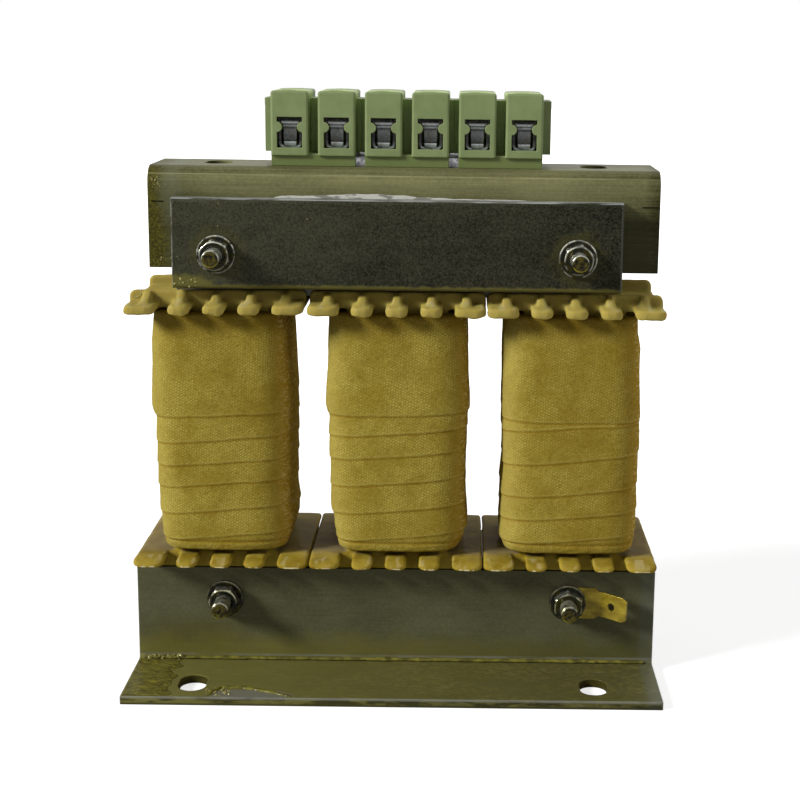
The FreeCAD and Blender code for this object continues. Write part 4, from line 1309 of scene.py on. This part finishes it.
def ridge(name, points, radius, seed):
    """Raised run of varnish along a line of points, thicker and thinner by turns."""
    spine = []
    for a, b in zip(points, points[1:]):
        steps = max(1, round((b - a).length / 0.5))
        spine += [a.lerp(b, i / steps) for i in range(steps)]
    spine.append(points[-1])
    rings = []
    for i, place in enumerate(spine):
        heading = (spine[min(i + 1, len(spine) - 1)] - spine[max(i - 1, 0)]).normalized()
        side = heading.cross(Vector((0, 0, 1))).normalized()
        up = side.cross(heading)
        swell = 1 + 0.5 * noise.noise(Vector((i * 0.09, seed, 0)))
        swell += 0.2 * noise.noise(Vector((i * 0.31, seed, 0)))
        reach = radius * swell * min(1.0, 0.25 + i * 0.4, 0.25 + (len(spine) - 1 - i) * 0.4)
        drift = side * 0.5 * radius * noise.noise(Vector((i * 0.17, seed, 5)))
        rings.append([place + drift + side * reach * 1.5 * math.cos(a) + up * reach * math.sin(a)
                      for a in (2 * math.pi * j / 10 for j in range(10))])
    dressed(name, skin(rings, capped=True), "run", 120, "bobbin_plastic")


def varnish_runs():
    """Bead along the front bracket's bend, the rim of the bare patch and bubbles where varnish gathered."""
    low, high = span("bottom_bracket_front")
    wall = high.y - sheet

    def bend_bead(name, y, seed):
        line = [Vector((x, y, sheet + 0.5)) for x in (low.x + 2.6, 0.0, high.x - 2.2)]
        ridge(name, line, 0.5, seed)

    bend_bead("bend_bead", wall - bend_inset, 2.0)
    ridge("patch_rim", [Vector((x, y, sheet)) for x, y in ridge_line], 0.45, 4.0)
    channel_low, channel_high = span("top_channel")
    bar_low, bar_high = span("clamp_bar_front")
    front = Vector((0, -1, 0))
    slant = Vector((0, -0.7, 0.7))
    up = Vector((0, 0, 1))
    # Each area: seed, count, low and high corner, outward direction, smallest and largest radius
    areas = ((1, 16, (channel_low.x + 1, channel_low.y, channel_high.z - 6),
              (channel_low.x + 3.5, channel_low.y, channel_high.z - 3), front, 0.14, 0.42),
             (2, 10, (channel_low.x + 1, channel_low.y, channel_low.z + 0.7),
              (channel_low.x + 7, channel_low.y, channel_low.z + 3.5), front, 0.14, 0.36),
             (3, 26, (bar_low.x + 0.6, bar_low.y, bar_low.z + 0.5),
              (bar_low.x + 7.5, bar_low.y, bar_low.z + 3.0), front, 0.12, 0.36),
             (4, 46, (low.x + 1.0, wall - 1.5, sheet + 0.1), (low.x + 13, wall - 0.3, sheet + 1.4), slant,
              0.16, 0.45),
             (6, 34, (ridge_line[0][0] - 0.6, ridge_line[0][1], sheet),
              (ridge_line[3][0], ridge_line[2][1] - 0.4, sheet), up, 0.16, 0.5),
             (5, 12, (bar_low.x + 1, bar_low.y, bar_low.z + 3), (bar_low.x + 60, bar_low.y, bar_high.z - 1),
              front, 0.08, 0.16))
    spots = []
    for area in areas:
        spots += scattered(*area)
    beads("varnish_bubbles", spots)
    bend_bead("bend_bead_rear", span("bottom_bracket_rear")[0].y + sheet + bend_inset, 6.0)


def pool_thickness(u, v):
    """Thickness of the pool at a place from its left front corner; none where it is not above 0."""
    edge = pool_reach + pool_waver * noise.noise(Vector((v / 4, 0, 3))) - u
    wrinkle = noise.noise(Vector((u / 5.0, v / 1.4, 1.7)))
    wrinkle += 0.5 * noise.noise(Vector((u / 2.5, v / 0.9, 7.7)))
    return min(pool_depth, edge * pool_slope) + pool_wrinkle * wrinkle * limited(edge / 3)


def foot_pool():
    """Wrinkled amber pool on the left end of the front foot: a closed thin body over a grid of cells."""
    low = span("bottom_bracket_front")[0]
    columns = round(pool_size[0] / pool_cell)
    rows = round(pool_size[1] / pool_cell)
    top = {}
    for i in range(columns + 1):
        for j in range(rows + 1):
            u = pool_size[0] * i / columns
            v = pool_size[1] * j / rows
            thick = pool_thickness(u, v)
            if thick > 0:
                top[i, j] = (low.x + 0.4 + u, low.y + 0.6 + v, thick)
    kept = [(i, j) for i, j in top if (i + 1, j) in top and (i, j + 1) in top and (i + 1, j + 1) in top]
    cells = set(kept)
    verts = []
    index = {}

    def vertex(key, level):
        if (key, level) not in index:
            x, y, thick = top[key]
            index[key, level] = len(verts)
            verts.append((x, y, sheet + (thick if level else -film_sink)))
        return index[key, level]

    faces = []
    for i, j in kept:
        ring = [(i, j), (i + 1, j), (i + 1, j + 1), (i, j + 1)]
        faces.append(tuple(vertex(key, 1) for key in ring))
        faces.append(tuple(vertex(key, 0) for key in reversed(ring)))
        beside = [(i, j - 1), (i + 1, j), (i, j + 1), (i - 1, j)]
        for n in range(4):
            if beside[n] not in cells:
                a = ring[n]
                b = ring[(n + 1) % 4]
                faces.append((vertex(a, 0), vertex(b, 0), vertex(b, 1), vertex(a, 1)))
    dressed("varnish_pool", (verts, faces), "pool", 180, "bobbin_plastic")


def label_strip():
    """Upper part of the blank label: a loose wavy edge that stands up between bar and channel."""
    low, high = span("label")
    bar_top = span("clamp_bar_front")[1].z
    front = (low.y + high.y) / 2 - label_half
    rear = (low.y + high.y) / 2 + label_half
    rings = []
    for i in range(label_steps + 1):
        share = i / label_steps
        x = low.x + (high.x - low.x) * share
        hump = math.exp(-((share - label_hump_place) / label_hump_width) ** 2)
        fade = min(1.0, share / label_ends[0], (1 - share) / label_ends[1])
        top = label_least + label_hump * hump + label_left * (1 - share)
        top += label_ripple * noise.noise(Vector((x / ripple_size, 0, 0)))
        top = min(bar_top + top * fade, high.z)
        side = top - label_crest
        rings.append([(x, front, low.z), (x, front, side), (x, (front + rear) / 2, top), (x, rear, side),
                      (x, rear, low.z)])
    dressed("label_look", skin(rings, capped=True), "label", 60, "label_paper", "label")


def dress_nodes():
    """Nodes that keep their CAD form, with rounded edges and their own finish."""
    drops = []
    for seed, side in enumerate(("left", "center", "right")):
        drops += dipped_bobbin(side, seed)
        softened("terminal_housing_" + side, "green", "green_plastic", 0.18)
        softened("gap_spacer_" + side, "gap", "gap_sheet", 0.1, 1)
    for side in ("front", "rear"):
        softened("bottom_bracket_" + side, "bracket", "bracket_steel", 0.22)
    for side in ("front", "rear"):
        softened("clamp_bar_" + side, "bar", "bar_steel", 0.12, 1, 50)
    softened("top_channel", "channel", "channel_steel", 0.2)
    softened("earth_tab", "brass", "tab_brass", 0.1)
    softened("terminal_rail", "rail", "zinc_steel", 0.1, 1)
    for node in ("wire_cages", "clamp_screws", "housing_screws"):
        softened(node, "cage", "zinc_steel", 0.08)
    beads("bobbin_drops", drops)


def straps():
    """Contact strips through the cages; their front ends are flared above, bent and turned in below."""
    low, high = span("contact_strips")
    pitch = (high.x - low.x - strip_width) / (strip_count - 1)
    parts = []
    for i in range(strip_count):
        x = low.x + strip_width / 2 + pitch * i
        rings = []
        for y, z, reach in strap_line:
            inner = reach - strap_edge
            section = ((-reach, strap_edge), (-inner, 0), (inner, 0), (reach, strap_edge),
                       (inner, strap_thickness), (-inner, strap_thickness))
            rings.append([(x + across, y + deep, z) for across, deep in section])
        parts.append(skin(rings, capped=True))
        left = x - strip_width / 2
        right = x + strip_width / 2
        under = high.z - strip_thickness
        level = [[(left, y, under), (right, y, under), (right, y, high.z), (left, y, high.z)]
                 for y in (strap_line[4][0] + strap_thickness, high.y)]
        parts.append(skin(level, capped=True))
    dressed("straps_look", joined(parts), "strap", 30, "zinc_steel", "contact_strips")


def tip_varnish():
    """Amber drop on the end of each bolt."""
    parts = []
    for node in ("upper_bolts", "lower_bolts"):
        low, high = span(node)
        for x in bolt_places():
            rows = [(radius, low.y + place, 0) for radius, place in drop_line]
            parts.append(lathe(x, (low.z + high.z) / 2, rows, False, segments=28))
    dressed("bolt_end_varnish", joined(parts), "drop", 180, "bobbin_plastic")


def make_camera():
    data = bpy.data.cameras.new("camera")
    data.lens = lens_length
    data.sensor_width = 36.0
    data.shift_x = (photo_size / 2 - optical_axis_pixel[0]) / photo_size
    data.shift_y = (optical_axis_pixel[1] - photo_size / 2) / photo_size
    camera = placed("camera", data)
    turn = (Matrix.Rotation(math.radians(-camera_yaw), 4, "Z")
            @ Matrix.Rotation(math.radians(90 - camera_pitch), 4, "X")
            @ Matrix.Rotation(math.radians(camera_roll), 4, "Z"))
    camera.matrix_world = Matrix.Translation(camera_place * MM) @ turn
    data.clip_start = 0.01
    data.clip_end = 20.0
    scene.camera = camera


def make_light():
    """Key from the left, broad weak lamps behind and to the right, and an even world, white where seen."""
    for name, (direction, strength, softness, mirrored) in lamps.items():
        data = bpy.data.lights.new(name, "SUN")
        data.energy = strength
        data.angle = math.radians(softness)
        light = placed(name, data)
        light.rotation_mode = "QUATERNION"
        light.rotation_quaternion = direction.to_track_quat("Z", "Y")
        light.visible_glossy = mirrored
    world = bpy.data.worlds.new("studio")
    scene.world = world
    world.use_nodes = True
    g = Graph(world.node_tree)
    background = g.nodes["Background"]
    background.inputs["Color"].default_value = (1.0, 1.0, 1.0, 1.0)
    seen = light_path(g, "Is Camera Ray").at_least(light_path(g, "Is Glossy Ray"))
    seen = seen.at_least(light_path(g, "Is Transmission Ray"))
    inputs = {"Value": seen, "To Min": fill_strength, "To Max": 1.0}
    g.put(background.inputs["Strength"], g.field("ShaderNodeMapRange", "Result", inputs))


def light_path(graph, output):
    return graph.field("ShaderNodeLightPath", output)


def make_floor():
    """Pale floor with the object's shadow; for the camera it glows a little and turns white farther out."""
    size = 4000.0
    verts = [(-size, -size, 0), (size, -size, 0), (size, size, 0), (-size, size, 0)]
    material = bpy.data.materials.new("floor")
    material.use_nodes = True
    g = Graph(material.node_tree)
    g.nodes.clear()
    diffuse = g.field("ShaderNodeBsdfDiffuse", 0, {"Color": (floor_colour, floor_colour, floor_colour, 1.0)})
    away = g.vector("LENGTH", g.field("ShaderNodeTexCoord", "Object"), output="Value")
    inputs = {"Value": away, "From Min": floor_fade[0] * MM, "From Max": floor_fade[1] * MM,
              "To Min": floor_glow, "To Max": 1.0}
    share = light_path(g, "Is Camera Ray") * g.field("ShaderNodeMapRange", "Result", inputs)
    glow = g.field("ShaderNodeEmission", 0, {"Strength": share})
    both = g.field("ShaderNodeAddShader", 0, {0: diffuse, 1: glow})
    g.put(g.nodes.new("ShaderNodeOutputMaterial").inputs["Surface"], both)
    new_piece("floor", verts, [(0, 1, 2, 3)], material)


finishes = {
    "tape": tape_finish(),
    "amber": amber_plastic(),
    # Bolt-end drop: dark, with a gold painted highlight on its lower bulge
    "drop": varnish("varnish_drop", (14, 13, 7), (72, 65, 18), 0.25, 0.9, (176, 156, 46)),
    "pool": pool_finish(),
    "run": varnish("varnish_run", (74, 70, 26), (112, 106, 42), 0.3, 2.5),
    # Beads paler than the varnish they are made of, as painted glints
    "bubble": varnish("varnish_bubble", (104, 96, 40), (160, 152, 86)),
    "bar": bar_steel(),
    "channel": channel_steel(),
    "bracket": bracket_steel(),
    "zinc": polished_zinc(),
    "strap": clamp_zinc("strap_zinc", strap_bands),
    "cage": clamp_zinc("cage_zinc", cage_bands),
    "rail": rail_zinc(),
    "brass": brass(),
    "green": green_plastic(),
    "core": core_steel(),
    "gap": gap_sheet_finish(),
    "label": label_finish(),
}

make_camera()
make_light()
make_floor()
dress_nodes()
core()
coil("left", left_seams, left_forms, 1.0)
coil("center", centre_seams, centre_forms, 2.0)
coil("right", right_seams, right_forms, 3.0)
for node in ("upper_bolts", "lower_bolts"):
    bolts(node)
nuts_and_washers()
straps()
tip_varnish()
label_strip()
foot_pool()
varnish_runs()

scene.view_settings.view_transform = "Standard"
